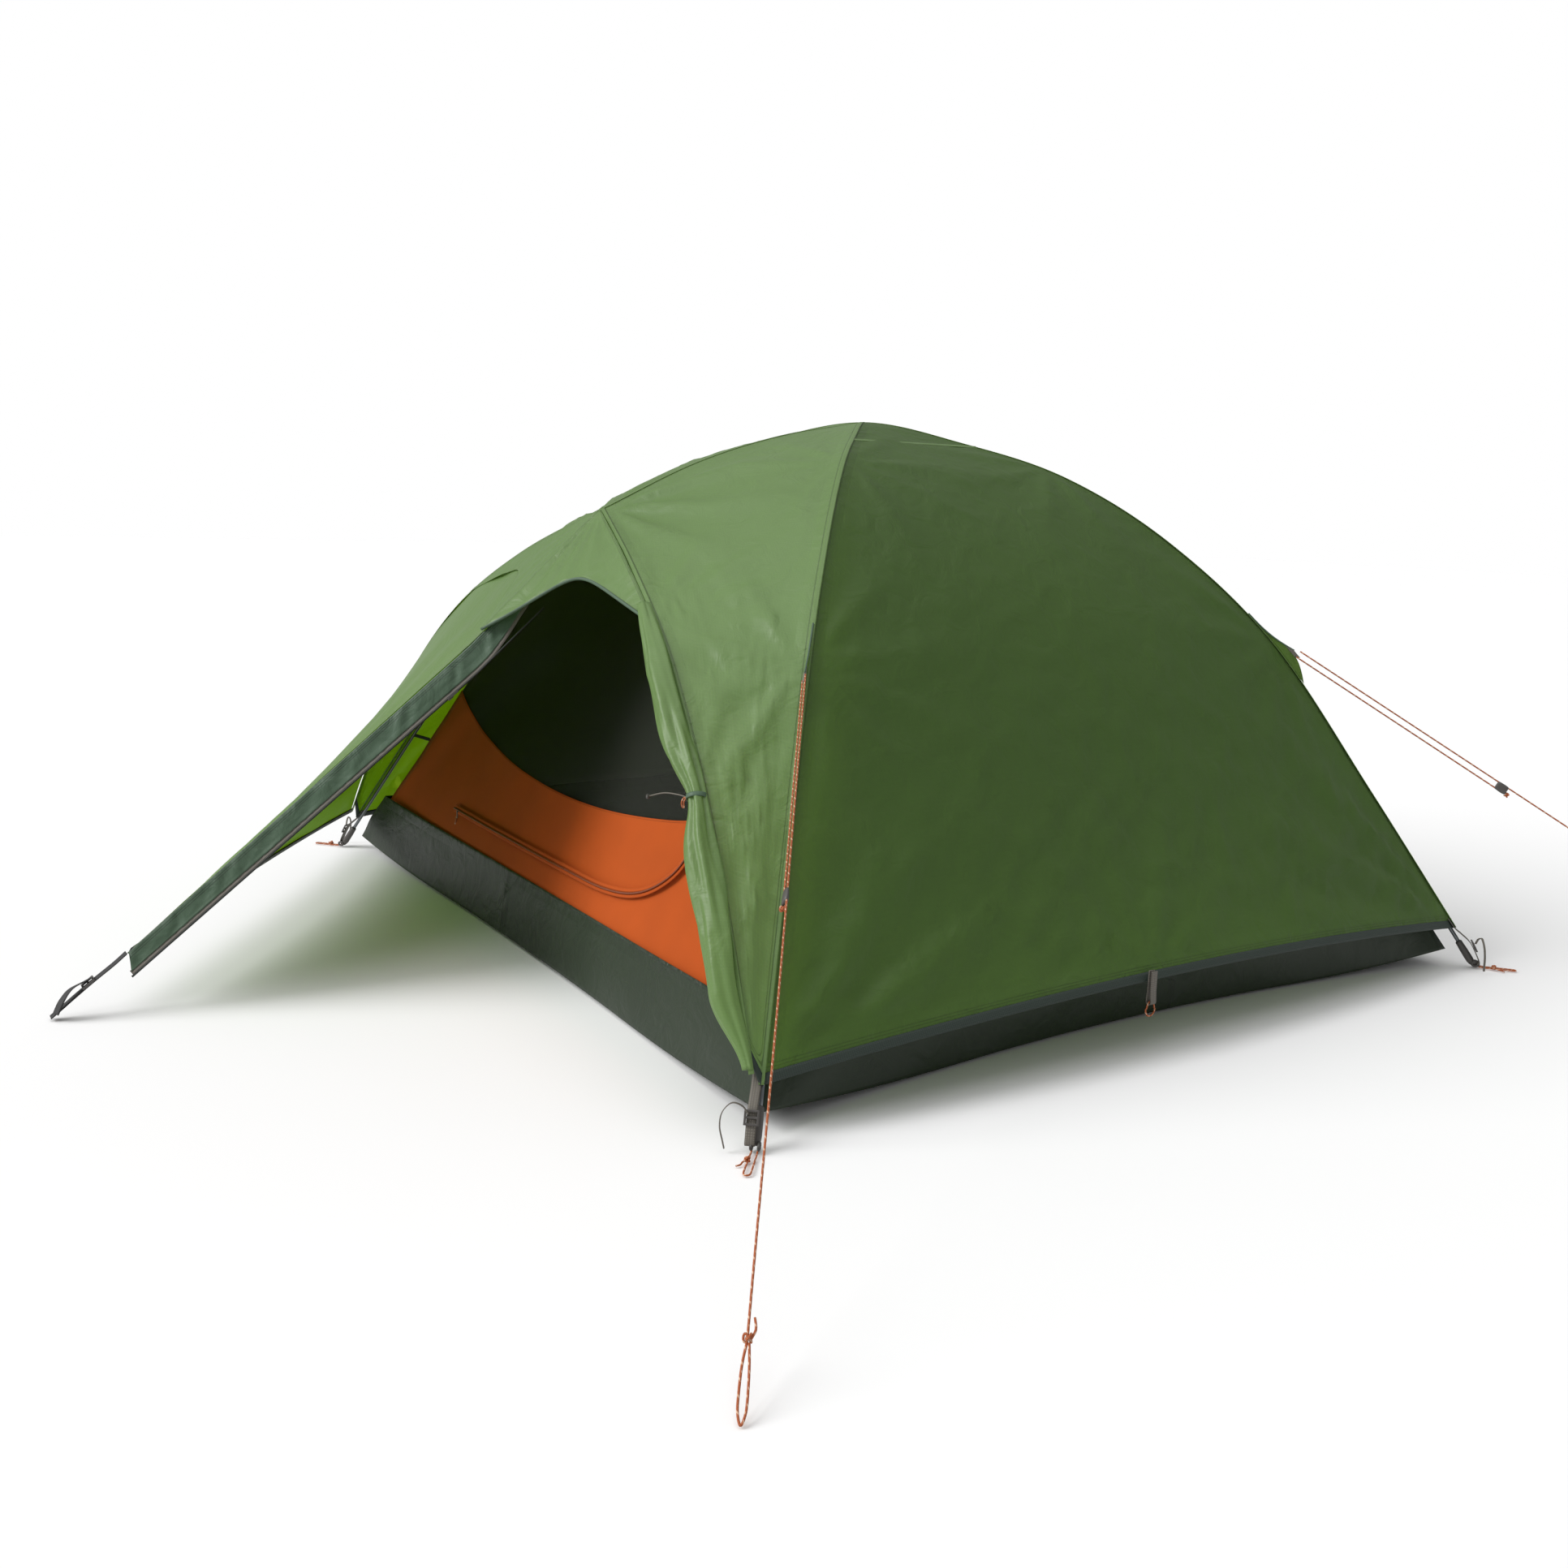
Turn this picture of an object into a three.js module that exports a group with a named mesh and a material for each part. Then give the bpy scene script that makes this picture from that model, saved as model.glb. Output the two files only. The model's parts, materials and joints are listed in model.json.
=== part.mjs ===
// Three-person ridge-porch tent on poles, pitched.
// Millimetres, +Z up. The origin is the centre of the groundsheet on the ground and the porch faces -Y.
import * as THREE from 'three';
import { mergeVertices } from 'three/addons/utils/BufferGeometryUtils.js';

// ---------------------------------------------------------------- driving dimensions
const floor = { halfLength: 1050, halfWidth: 900, cornerLift: 30, wallHeight: 150, sideBow: 85, endBow: 35 };
const feet = { halfLength: 1092, halfWidth: 936 };
const pole = { radius: 4.25, sides: 8, underFly: 11, topV: 0.035, jointV: 0.52, endV: 0.99, jointGap: 0.6 };
const cloth = { thickness: 2, innerThickness: 1.5, seamInset: 2.4, topV: 0.012, hemV: 0.972 };
const inner = { scale: 0.955, topV: 0.02, bottomV: 0.937, orangeMidV: 0.845, orangeSideRise: 0.068, seamV: 0.004 };
const brow = { v: 0.47, y: -674, z: 948 };
const porch = {
  creaseTop: [0, -690, 928], creaseBend: [0, -970, 668], tip: [0, -1666, 94],
  flapDrop: [35, 0, -50], hoodReach: [0, -946, 690], hoodSeam: 0.345, hoodArch: 0.36, hoodLift: 14,
};
const guy = {
  radius: 1.6, strandGap: 15, runnerAt: 520, runnerLength: 12, knotFromEnd: 95, tipRadial: 1010, tipHeight: 676,
  stakes: { a: [1651, -1300], c: [1615, 1387] }, twist: 1.22,
};
const webbing = { width: 20, thickness: 1.5 };
const toggleAt = [627, -885, 458];
const ringSize = { radius: 14, wire: 1.5, y: -100, z: 98 };

// Heights of the pitched poles above the ground, at equal steps from the crown to a foot.
const poleHeights = [1163, 1118, 1045, 907, 695, 371, 31];

const colours = {
  flyGreen: 0x4a6d33, flyLight: 0x7fa05c, innerOrange: 0xb5501f, innerMesh: 0x3a3a3a, innerFabric: 0x8c9388,
  groundsheet: 0x26382b, alloy: 0xa8abad, plastic: 0x4a4846, cord: 0xc8663f, webbing: 0x2f2f2e, trim: 0x55695c,
};

const tent = new THREE.Group();

// ---------------------------------------------------------------- small tools
function add(name, geometry, colour, roughness = 0.7, metalness = 0, parent = tent) {
  const material = new THREE.MeshStandardMaterial({ color: colour, roughness, metalness });
  const mesh = new THREE.Mesh(geometry, material);
  mesh.name = name;
  parent.add(mesh);
  return mesh;
}

function vec(x, y, z) {
  return new THREE.Vector3(x, y, z);
}

function positionsOnly(geometry) {
  geometry.deleteAttribute('normal');
  geometry.deleteAttribute('uv');
  const merged = mergeVertices(geometry, 1e-4);
  merged.computeVertexNormals();
  return merged;
}

// A thin closed panel. surface(u, v) is its outer face, with u to the right and v down as seen from
// outside, so that the cross product of the two directions points inwards.
function panel(surface, acrossSteps, downSteps, thickness = cloth.thickness) {
  const points = [];
  const step = 1e-3;
  for (const depth of [0, thickness]) {
    for (let row = 0; row <= downSteps; row += 1) {
      for (let column = 0; column <= acrossSteps; column += 1) {
        const u = column / acrossSteps;
        const v = row / downSteps;
        const right = surface(Math.min(u + step, 1), v).sub(surface(Math.max(u - step, 0), v));
        const down = surface(u, Math.min(v + step, 1)).sub(surface(u, Math.max(v - step, 0)));
        points.push(surface(u, v).addScaledVector(right.cross(down).normalize(), depth));
      }
    }
  }
  const wide = acrossSteps + 1;
  const layer = wide * (downSteps + 1);
  const faces = [];
  for (let row = 0; row < downSteps; row += 1) {
    for (let column = 0; column < acrossSteps; column += 1) {
      const a = row * wide + column;
      faces.push(a, a + wide, a + 1, a + 1, a + wide, a + wide + 1);
      const b = a + layer;
      faces.push(b, b + 1, b + wide, b + 1, b + wide + 1, b + wide);
    }
  }
  const rim = [];
  for (let column = 0; column < acrossSteps; column += 1) rim.push(column);
  for (let row = 0; row < downSteps; row += 1) rim.push(row * wide + acrossSteps);
  for (let column = acrossSteps; column > 0; column -= 1) rim.push(downSteps * wide + column);
  for (let row = downSteps; row > 0; row -= 1) rim.push(row * wide);
  rim.forEach((from, i) => {
    const to = rim[(i + 1) % rim.length];
    faces.push(from, to, to + layer, from, to + layer, from + layer);
  });
  const geometry = new THREE.BufferGeometry().setFromPoints(points);
  geometry.setIndex(faces);
  geometry.computeVertexNormals();
  return geometry;
}

// The ruled cloth between two edge curves, held back from both by the seam inset.
function between(leftEdge, rightEdge, inset = cloth.seamInset) {
  return (u, v) => {
    const left = leftEdge(v);
    const right = rightEdge(v);
    const margin = Math.min(inset / left.distanceTo(right), 0.4);
    return left.lerp(right, margin + u * (1 - 2 * margin));
  };
}

// A solid skinned over closed rings of points, with both ends closed by a fan. From the ring turnFrom
// the quads split along the other diagonal, so that a wall's two faces bend along the same lines.
function skinned(rings, turnFrom = rings.length) {
  const count = rings[0].length;
  const points = rings.flat();
  const faces = [];
  for (let r = 0; r + 1 < rings.length; r += 1) {
    for (let i = 0; i < count; i += 1) {
      const a = r * count + i;
      const b = r * count + ((i + 1) % count);
      if (r < turnFrom) faces.push(a, b, b + count, a, b + count, a + count);
      else faces.push(a, b, a + count, b, b + count, a + count);
    }
  }
  for (const [ring, flip] of [[0, true], [rings.length - 1, false]]) {
    const middle = rings[ring].reduce((sum, p) => sum.add(p), vec(0, 0, 0)).divideScalar(count);
    const centre = points.push(middle) - 1;
    for (let i = 0; i < count; i += 1) {
      const a = ring * count + i;
      const b = ring * count + ((i + 1) % count);
      faces.push(...(flip ? [centre, b, a] : [centre, a, b]));
    }
  }
  const geometry = new THREE.BufferGeometry().setFromPoints(points);
  geometry.setIndex(faces);
  geometry.computeVertexNormals();
  return geometry;
}

function disc(radius, sides) {
  const outline = [];
  for (let i = 0; i < sides; i += 1) {
    const angle = (2 * Math.PI * i) / sides;
    outline.push(new THREE.Vector2(radius * Math.cos(angle), radius * Math.sin(angle)));
  }
  return new THREE.Shape(outline);
}

// A round bar or cord along a list of points.
function rod(points, radius, steps, sides = 8) {
  const path = points.length === 2 ? new THREE.LineCurve3(...points) : new THREE.CatmullRomCurve3(points);
  const options = { steps, extrudePath: path, bevelEnabled: false };
  return positionsOnly(new THREE.ExtrudeGeometry(disc(radius, sides), options));
}

// A flat shape given thickness, stood up so that its x and y run along two given directions.
function plate(shape, thickness, centre, along, across) {
  const geometry = new THREE.ExtrudeGeometry(shape, { depth: thickness, bevelEnabled: false, curveSegments: 6 });
  geometry.translate(0, 0, -thickness / 2);
  const turn = new THREE.Matrix4().makeBasis(across, along, across.clone().cross(along));
  geometry.applyMatrix4(turn.setPosition(centre));
  return positionsOnly(geometry);
}

function roundedRectangle(width, height, radius) {
  const x = width / 2 - radius;
  const y = height / 2 - radius;
  const shape = new THREE.Shape();
  shape.absarc(x, y, radius, 0, Math.PI / 2);
  shape.absarc(-x, y, radius, Math.PI / 2, Math.PI);
  shape.absarc(-x, -y, radius, Math.PI, 1.5 * Math.PI);
  shape.absarc(x, -y, radius, 1.5 * Math.PI, 2 * Math.PI);
  shape.closePath();
  return shape;
}

function slot(shape, width, height, y) {
  const hole = new THREE.Path();
  hole.setFromPoints([
    new THREE.Vector2(-width / 2, y - height / 2), new THREE.Vector2(width / 2, y - height / 2),
    new THREE.Vector2(width / 2, y + height / 2), new THREE.Vector2(-width / 2, y + height / 2),
  ]);
  shape.holes.push(hole);
  return shape;
}

// ---------------------------------------------------------------- curves of the pitched tent
// One pole's arc as (distance from the crown, height). The mirrored first point makes the crown level.
const reach = Math.hypot(feet.halfLength, feet.halfWidth);
const stepCount = poleHeights.length - 1;
const arcPoints = [-1, ...poleHeights.keys()].map(
  (i) => vec((reach * i) / stepCount, 0, poleHeights[Math.abs(i)]),
);
const arcCurve = new THREE.CatmullRomCurve3(arcPoints, false, 'catmullrom');

function arcAt(v) {
  return arcCurve.getPoint((v * stepCount + 1) / (stepCount + 1));
}

function onDiagonal(flat, sx, sy) {
  return vec((sx * flat.x * feet.halfLength) / reach, (sy * flat.x * feet.halfWidth) / reach, flat.z);
}

function flyArc(sx, sy, endV = cloth.hemV, startV = cloth.topV) {
  return (v) => onDiagonal(arcAt(startV + v * (endV - startV)), sx, sy);
}

function innerArc(sx, sy, startV, endV) {
  return (v) => onDiagonal(arcAt(startV + v * (endV - startV)), sx, sy).multiplyScalar(inner.scale);
}

// The ridge from the crown to the brow, then the brow seam from the brow down to a front foot.
const ridgeCurve = new THREE.CatmullRomCurve3([
  vec(0, 0, 1163), vec(0, -225, 1122), vec(0, -450, 1052), vec(0, brow.y, brow.z),
], false, 'catmullrom');
const seamCurve = new THREE.CatmullRomCurve3([
  vec(0, brow.y, brow.z), vec(280, -745, 842), vec(540, -805, 702), vec(760, -855, 507),
  vec(930, -895, 298), vec(1072, -928, 78),
], false, 'catmullrom');

// Half of each front panel's rows lie above the brow and half below it.
function frontRow(v) {
  return v < 0.5
    ? THREE.MathUtils.lerp(cloth.topV, brow.v, 2 * v)
    : THREE.MathUtils.lerp(brow.v, cloth.hemV, 2 * v - 1);
}

function frontEdge(sx) {
  return (v) => {
    const whole = frontRow(v);
    const point = whole < brow.v
      ? ridgeCurve.getPoint(whole / brow.v)
      : seamCurve.getPoint((whole - brow.v) / (1 - brow.v));
    point.x *= sx;
    return point;
  };
}

function frontArc(sx) {
  return (v) => onDiagonal(arcAt(frontRow(v)), sx, -1);
}

// ---------------------------------------------------------------- flysheet
// Side and end walls: straight from pole to pole, pegged out and lifted at the middle of the hem.
function flyWall(leftCorner, rightCorner, outwards, hemOut, hemLift) {
  const ruled = between(flyArc(...leftCorner), flyArc(...rightCorner));
  return (u, v) => {
    const hemPull = 4 * u * (1 - u) * v ** 6;
    return ruled(u, v).addScaledVector(outwards, hemOut * hemPull).add(vec(0, 0, hemLift * hemPull));
  };
}

function flysheet() {
  const wallSteps = [6, 14];
  add('fly_right', panel(flyWall([1, -1], [1, 1], vec(1, 0, 0), 34, 50), ...wallSteps), colours.flyGreen);
  add('fly_left', panel(flyWall([-1, 1], [-1, -1], vec(-1, 0, 0), 34, 50), ...wallSteps), colours.flyGreen);
  add('fly_rear', panel(flyWall([1, 1], [-1, 1], vec(0, 1, 0), 25, 40), ...wallSteps), colours.flyGreen);
  add('fly_front_right', panel(between(frontEdge(1), frontArc(1)), 4, 16), colours.flyLight);
  add('fly_front_left', panel(between(frontArc(-1), frontEdge(-1)), 4, 16), colours.flyLight);
}

// The hood over the top of the porch zip: folded on the centre line, with an arched lower edge.
function browHood() {
  const top = vec(0, brow.y - 2, brow.z + 4);
  const reachPoint = vec(...porch.hoodReach).add(vec(0, 0, porch.hoodLift));
  const surface = (u, v) => {
    const side = 2 * u - 1;
    const arch = 1 - porch.hoodArch * Math.sin(Math.PI * Math.abs(side));
    const down = (0.04 + 0.96 * v) * arch;
    const centre = top.clone().lerp(reachPoint, down);
    const edge = seamCurve.getPoint(down * porch.hoodSeam);
    edge.add(vec(-4, -4, 0));
    edge.x *= Math.sign(side);
    return centre.lerp(edge, Math.abs(side));
  };
  add('brow_hood', panel(surface, 12, 5, 1.5), colours.flyLight);
}

function crease(t) {
  const [top, bend, tip] = [porch.creaseTop, porch.creaseBend, porch.tip].map((p) => vec(...p));
  const bendAt = 0.29;
  return t < bendAt ? top.lerp(bend, t / bendAt) : bend.lerp(tip, (t - bendAt) / (1 - bendAt));
}

// The zip tape along the lower edge of the flap.
function zipEdge(v) {
  return crease(0.14 + 0.84 * v).add(vec(...porch.flapDrop).multiplyScalar(1 - 0.35 * v));
}

// The left half of the porch, from the crease down to a hem that curves in between tip and foot.
function porchPanel() {
  const creaseEdge = (v) => crease(0.03 + 0.955 * v);
  const seamEdge = (v) => {
    const point = seamCurve.getPoint(0.02 + 0.955 * v);
    point.x *= -1;
    return point.add(vec(6, -6, -16 * (1 - v)));
  };
  const ruled = between(seamEdge, creaseEdge, 3);
  const surface = (u, v) => {
    const middle = 4 * u * (1 - u);
    return ruled(u, v).add(vec(-8 * middle * v ** 3, 28 * middle * v ** 3, 22 * middle * v ** 4));
  };
  add('porch_panel', panel(surface, 6, 12), colours.flyLight);
  const flapTop = (v) => crease(0.14 + 0.84 * v).add(vec(2, 0, 0));
  add('porch_zip_flap', panel(between(flapTop, zipEdge, 0.5), 2, 12), colours.trim);
}

// The right half of the porch, rolled back and tied along the brow seam.
function rolledDoor() {
  const rings = [];
  const ringCount = 15;
  const aside = vec(-0.72, -0.66, -0.2).normalize();
  const tieAt = 0.42;
  for (let i = 0; i < ringCount; i += 1) {
    const t = i / (ringCount - 1);
    const onSeam = seamCurve.getPoint(0.37 + 0.6 * t);
    const run = seamCurve.getTangent(0.37 + 0.6 * t);
    const depth = aside.clone().cross(run).normalize();
    const nearTie = Math.exp(-(((t - tieAt) / 0.07) ** 2));
    const fullness = (0.35 + 0.65 * Math.min(1, 5 * t)) * (1 - 0.42 * nearTie);
    const centre = onSeam.addScaledVector(aside, 6 + 24 * fullness);
    const ring = [];
    for (let k = 0; k < 12; k += 1) {
      const angle = (-2 * Math.PI * k) / 12;
      ring.push(centre.clone()
        .addScaledVector(aside, 24 * fullness * Math.cos(angle))
        .addScaledVector(depth, 15 * fullness * Math.sin(angle)));
    }
    rings.push(ring);
  }
  add('porch_door_rolled', skinned(rings), colours.flyLight);
}

// ---------------------------------------------------------------- inner tent and groundsheet
function sheetRing(halfX, halfY, bowX, bowY, z, lift) {
  const perSide = 8;
  const ring = [];
  const corners = [[1, -1], [1, 1], [-1, 1], [-1, -1]];
  for (let side = 0; side < 4; side += 1) {
    const [x0, y0] = corners[side];
    const [x1, y1] = corners[(side + 1) % 4];
    const bow = x0 === x1 ? vec(-x0 * bowX, 0, 0) : vec(0, -y0 * bowY, 0);
    for (let i = 0; i < perSide; i += 1) {
      const t = i / perSide;
      const point = vec(halfX * THREE.MathUtils.lerp(x0, x1, t), halfY * THREE.MathUtils.lerp(y0, y1, t), z);
      point.addScaledVector(bow, 4 * t * (1 - t));
      point.z += lift * (2 * Math.max(0, Math.abs(2 * t - 1) - 0.5)) ** 2;
      ring.push(point);
    }
  }
  return ring;
}

function groundsheet() {
  const { halfLength, halfWidth, cornerLift, wallHeight, sideBow, endBow } = floor;
  const wall = 2;
  const lean = 60;
  const flat = 170;
  const outer = [
    sheetRing(halfLength - flat, halfWidth - flat, 0, 0, 0, 0),
    sheetRing(halfLength - 12, halfWidth - 12, sideBow, endBow, 0, cornerLift),
    sheetRing(halfLength, halfWidth, sideBow, endBow, 6, cornerLift),
    sheetRing(halfLength - lean, halfWidth - lean + 10, 12, 6, wallHeight, 6),
  ];
  const insideFace = [
    sheetRing(halfLength - lean - wall, halfWidth - lean + 10 - wall, 12, 6, wallHeight, 6),
    sheetRing(halfLength - wall - 1, halfWidth - wall - 1, sideBow, endBow, 8, cornerLift),
    sheetRing(halfLength - 14, halfWidth - 14, sideBow, endBow, 2.5, cornerLift),
    sheetRing(halfLength - flat, halfWidth - flat, 0, 0, 2.5, 0),
  ];
  add('groundsheet', skinned([...outer, ...insideFace], outer.length), colours.groundsheet, 0.6);
}

function innerWall(leftCorner, rightCorner, topV, bottomV) {
  return (u, v) => {
    const top = topV(u);
    const along = top + v * (bottomV(u) - top);
    return between(
      () => innerArc(...leftCorner, 0, 1)(along), () => innerArc(...rightCorner, 0, 1)(along), 3,
    )(u, 0);
  };
}

function innerTent() {
  const top = () => inner.topV;
  const bottom = () => inner.bottomV;
  const orangeTop = (u) => inner.orangeMidV - inner.orangeSideRise * (2 * u - 1) ** 2;
  const meshBottom = (u) => orangeTop(u) - inner.seamV;
  const walls = [
    ['inner_right_wall', [1, -1], [1, 1], top, bottom, colours.innerFabric],
    ['inner_left_wall', [-1, 1], [-1, -1], top, bottom, colours.innerFabric],
    ['inner_rear_wall', [1, 1], [-1, 1], top, bottom, colours.innerFabric],
    ['inner_front_mesh', [-1, -1], [1, -1], top, meshBottom, colours.innerMesh],
    ['inner_front_panel', [-1, -1], [1, -1], orangeTop, bottom, colours.innerOrange],
  ];
  for (const [name, left, right, from, to, colour] of walls) {
    const downSteps = name === 'inner_front_panel' ? 5 : 12;
    add(name, panel(innerWall(left, right, from, to), 6, downSteps, cloth.innerThickness), colour);
  }
}

// ---------------------------------------------------------------- poles
function poleCentre(v) {
  const here = arcAt(v);
  const ahead = arcAt(v + 1e-3).sub(arcAt(v - 1e-3)).normalize();
  return here.add(vec(ahead.z, 0, -ahead.x).multiplyScalar(pole.underFly));
}

function poleSection(sx, sy, fromV, toV) {
  const points = [];
  const count = 8;
  for (let i = 0; i <= count; i += 1) {
    points.push(onDiagonal(poleCentre(fromV + ((toV - fromV) * i) / count), sx, sy));
  }
  return rod(points, pole.radius, count, pole.sides);
}

const corners = { a: [1, -1], b: [-1, -1], c: [1, 1], d: [-1, 1] };

function poles() {
  const gapV = pole.jointGap / reach;
  for (const [key, [sx, sy]] of Object.entries(corners)) {
    add(`pole_upper_${key}`, poleSection(sx, sy, pole.topV, pole.jointV), colours.alloy, 0.3, 1);
    add(`pole_lower_${key}`, poleSection(sx, sy, pole.jointV + gapV, pole.endV), colours.alloy, 0.3, 1);
  }
  const ridge = [];
  for (let i = 0; i <= 8; i += 1) {
    ridge.push(ridgeCurve.getPoint(0.075 + 0.895 * (i / 8)).add(vec(0, 0, -pole.underFly - 2)));
  }
  add('ridge_pole', rod(ridge, pole.radius, 8, pole.sides), colours.alloy, 0.3, 1);
  const crownZ = poleHeights[0] - 24;
  const hub = [[0, 0], [22, 0], [36, 5], [36, 14], [24, 17], [0, 17]];
  const hubShape = new THREE.LatheGeometry(hub.map(([x, y]) => new THREE.Vector2(x, y)), 20);
  hubShape.rotateX(Math.PI / 2);
  hubShape.translate(0, 0, crownZ);
  add('pole_hub', positionsOnly(hubShape), colours.plastic, 0.5);
}

// ---------------------------------------------------------------- corner fittings
// Built at one corner with +X outwards along the diagonal, then turned to each corner.
function cornerFoot() {
  const end = poleCentre(pole.endV).sub(vec(reach, 0, 0));
  const run = poleCentre(pole.endV).sub(poleCentre(pole.endV - 0.01)).normalize();
  const socketDepth = 12;
  const below = 46;
  const total = socketDepth + below;
  const profile = [[0, 0], [4, 0], [6.5, 3], [8, 12], [8, 46], [7, total], [4.9, total], [4.9, total - 13], [0, total - 13]];
  const shape = new THREE.LatheGeometry(profile.map(([x, y]) => new THREE.Vector2(x, y)), 12);
  const up = run.clone().negate();
  shape.applyQuaternion(new THREE.Quaternion().setFromUnitVectors(vec(0, 1, 0), up));
  const bottom = end.clone().addScaledVector(run, below);
  shape.translate(bottom.x, bottom.y, bottom.z);
  return positionsOnly(shape);
}

const strapLine = { top: vec(-27, -8, 95), foot: vec(14, -8, 19) };

function cornerStrap() {
  const { top, foot } = strapLine;
  const along = top.clone().sub(foot).normalize();
  const middle = top.clone().add(foot).multiplyScalar(0.5);
  const shape = roundedRectangle(webbing.width, top.distanceTo(foot), 1);
  return plate(shape, webbing.thickness, middle, along, vec(0, 1, 0));
}

function ladderBuckle() {
  const { top, foot } = strapLine;
  const along = top.clone().sub(foot).normalize();
  const across = vec(0, 1, 0);
  const outwards = across.clone().cross(along).normalize();
  const middle = foot.clone().lerp(top, 0.4).addScaledVector(outwards, outwards.x > 0 ? 3.4 : -3.4);
  const shape = roundedRectangle(27, 24, 3);
  slot(shape, webbing.width + 0.6, 4, 4.5);
  slot(shape, webbing.width + 0.6, 4, -4.5);
  return plate(shape, 3.6, middle, along, across);
}

function pegLoop() {
  const outline = [
    vec(14, -4.5, 4), vec(24, -6, 2.4), vec(44, -7, 2.2), vec(70, -7.5, 2.2), vec(86, -6, 2.2), vec(92, 0, 2.2),
    vec(86, 6, 2.2), vec(70, 7.5, 2.2), vec(44, 7, 2.2), vec(24, 6, 2.4), vec(14, 4.5, 4),
  ];
  return rod(outline, 1.5, 40);
}

function cornerFittings() {
  for (const [key, [sx, sy]] of Object.entries(corners)) {
    const corner = new THREE.Group();
    corner.position.set(sx * feet.halfLength, sy * feet.halfWidth, 0);
    corner.rotation.z = Math.atan2(sy * feet.halfWidth, sx * feet.halfLength);
    tent.add(corner);
    add(`pole_foot_${key}`, cornerFoot(), colours.plastic, 0.5, 0, corner);
    add(`corner_strap_${key}`, cornerStrap(), colours.webbing, 0.8, 0, corner);
    add(`ladder_buckle_${key}`, ladderBuckle(), colours.plastic, 0.5, 0, corner);
    add(`peg_loop_${key}`, pegLoop(), colours.cord, 0.7, 0, corner);
  }
}

// ---------------------------------------------------------------- side pegging points
function sidePegging(key, side) {
  const x = side * 1101;
  const outline = new THREE.Shape();
  const foldRadius = 5;
  const meets = Math.acos(1.4 / foldRadius);
  outline.moveTo(-1.4, foldRadius * Math.sin(meets));
  outline.lineTo(-1.4, 58);
  outline.lineTo(1.4, 58);
  outline.absarc(0, 0, foldRadius, meets, Math.PI - meets, true);
  const eye = new THREE.Path();
  eye.absarc(0, 0, 3.6, 0, 2 * Math.PI);
  outline.holes.push(eye);
  const tab = plate(outline, 13, vec(x, ringSize.y, ringSize.z), vec(0, 0, 1), vec(1, 0, 0));
  add(`side_tab_${key}`, tab, colours.webbing, 0.8);
  const ring = new THREE.TorusGeometry(ringSize.radius, ringSize.wire, 8, 24);
  ring.rotateY(Math.PI / 2);
  ring.translate(x, ringSize.y, ringSize.z - ringSize.radius);
  add(`side_ring_${key}`, positionsOnly(ring), colours.cord, 0.7);
}

// ---------------------------------------------------------------- porch strap, zips and toggle
function porchFittings() {
  const top = vec(0, -1674, 90);
  const foot = vec(0, -1784, 5);
  const along = top.clone().sub(foot).normalize();
  const across = vec(1, 0, 0);
  const outwards = across.clone().cross(along).normalize();
  const middle = top.clone().add(foot).multiplyScalar(0.5);
  const strap = plate(roundedRectangle(18, top.distanceTo(foot), 2), 1.6, middle, along, across);
  add('porch_strap', strap, colours.webbing, 0.8);
  const frame = roundedRectangle(27, 26, 3);
  slot(frame, 20, 4.5, 5);
  slot(frame, 20, 4.5, -5);
  const above = foot.clone().lerp(top, 0.62).addScaledVector(outwards, outwards.z > 0 ? 3.6 : -3.6);
  add('strap_adjuster', plate(frame, 4, above, along, across), colours.plastic, 0.5);

  const zipRun = zipEdge(1).sub(zipEdge(0.25)).normalize();
  const zipAt = zipEdge(0.25).add(vec(5, 0, -9));
  const slider = roundedRectangle(10, 16, 2.5);
  add('porch_zip_slider', plate(slider, 5, zipAt, zipRun, vec(1, 0, 0)), colours.plastic, 0.4, 0.5);

  const doorAt = innerWall(corners.b, corners.a, () => 0.91, () => 0.93)(0.235, 0);
  const doorSlider = plate(roundedRectangle(9, 14, 2.5), 5, doorAt.add(vec(0, -6, 0)), vec(0, 0, 1), vec(1, 0, 0));
  add('inner_zip_slider', doorSlider, colours.plastic, 0.4, 0.5);

  const toggle = new THREE.CapsuleGeometry(3.4, 18, 4, 10);
  toggle.rotateZ(Math.PI / 2);
  toggle.rotateZ(-0.5);
  toggle.translate(...toggleAt);
  add('door_toggle', positionsOnly(toggle), colours.plastic, 0.5);
}

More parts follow.
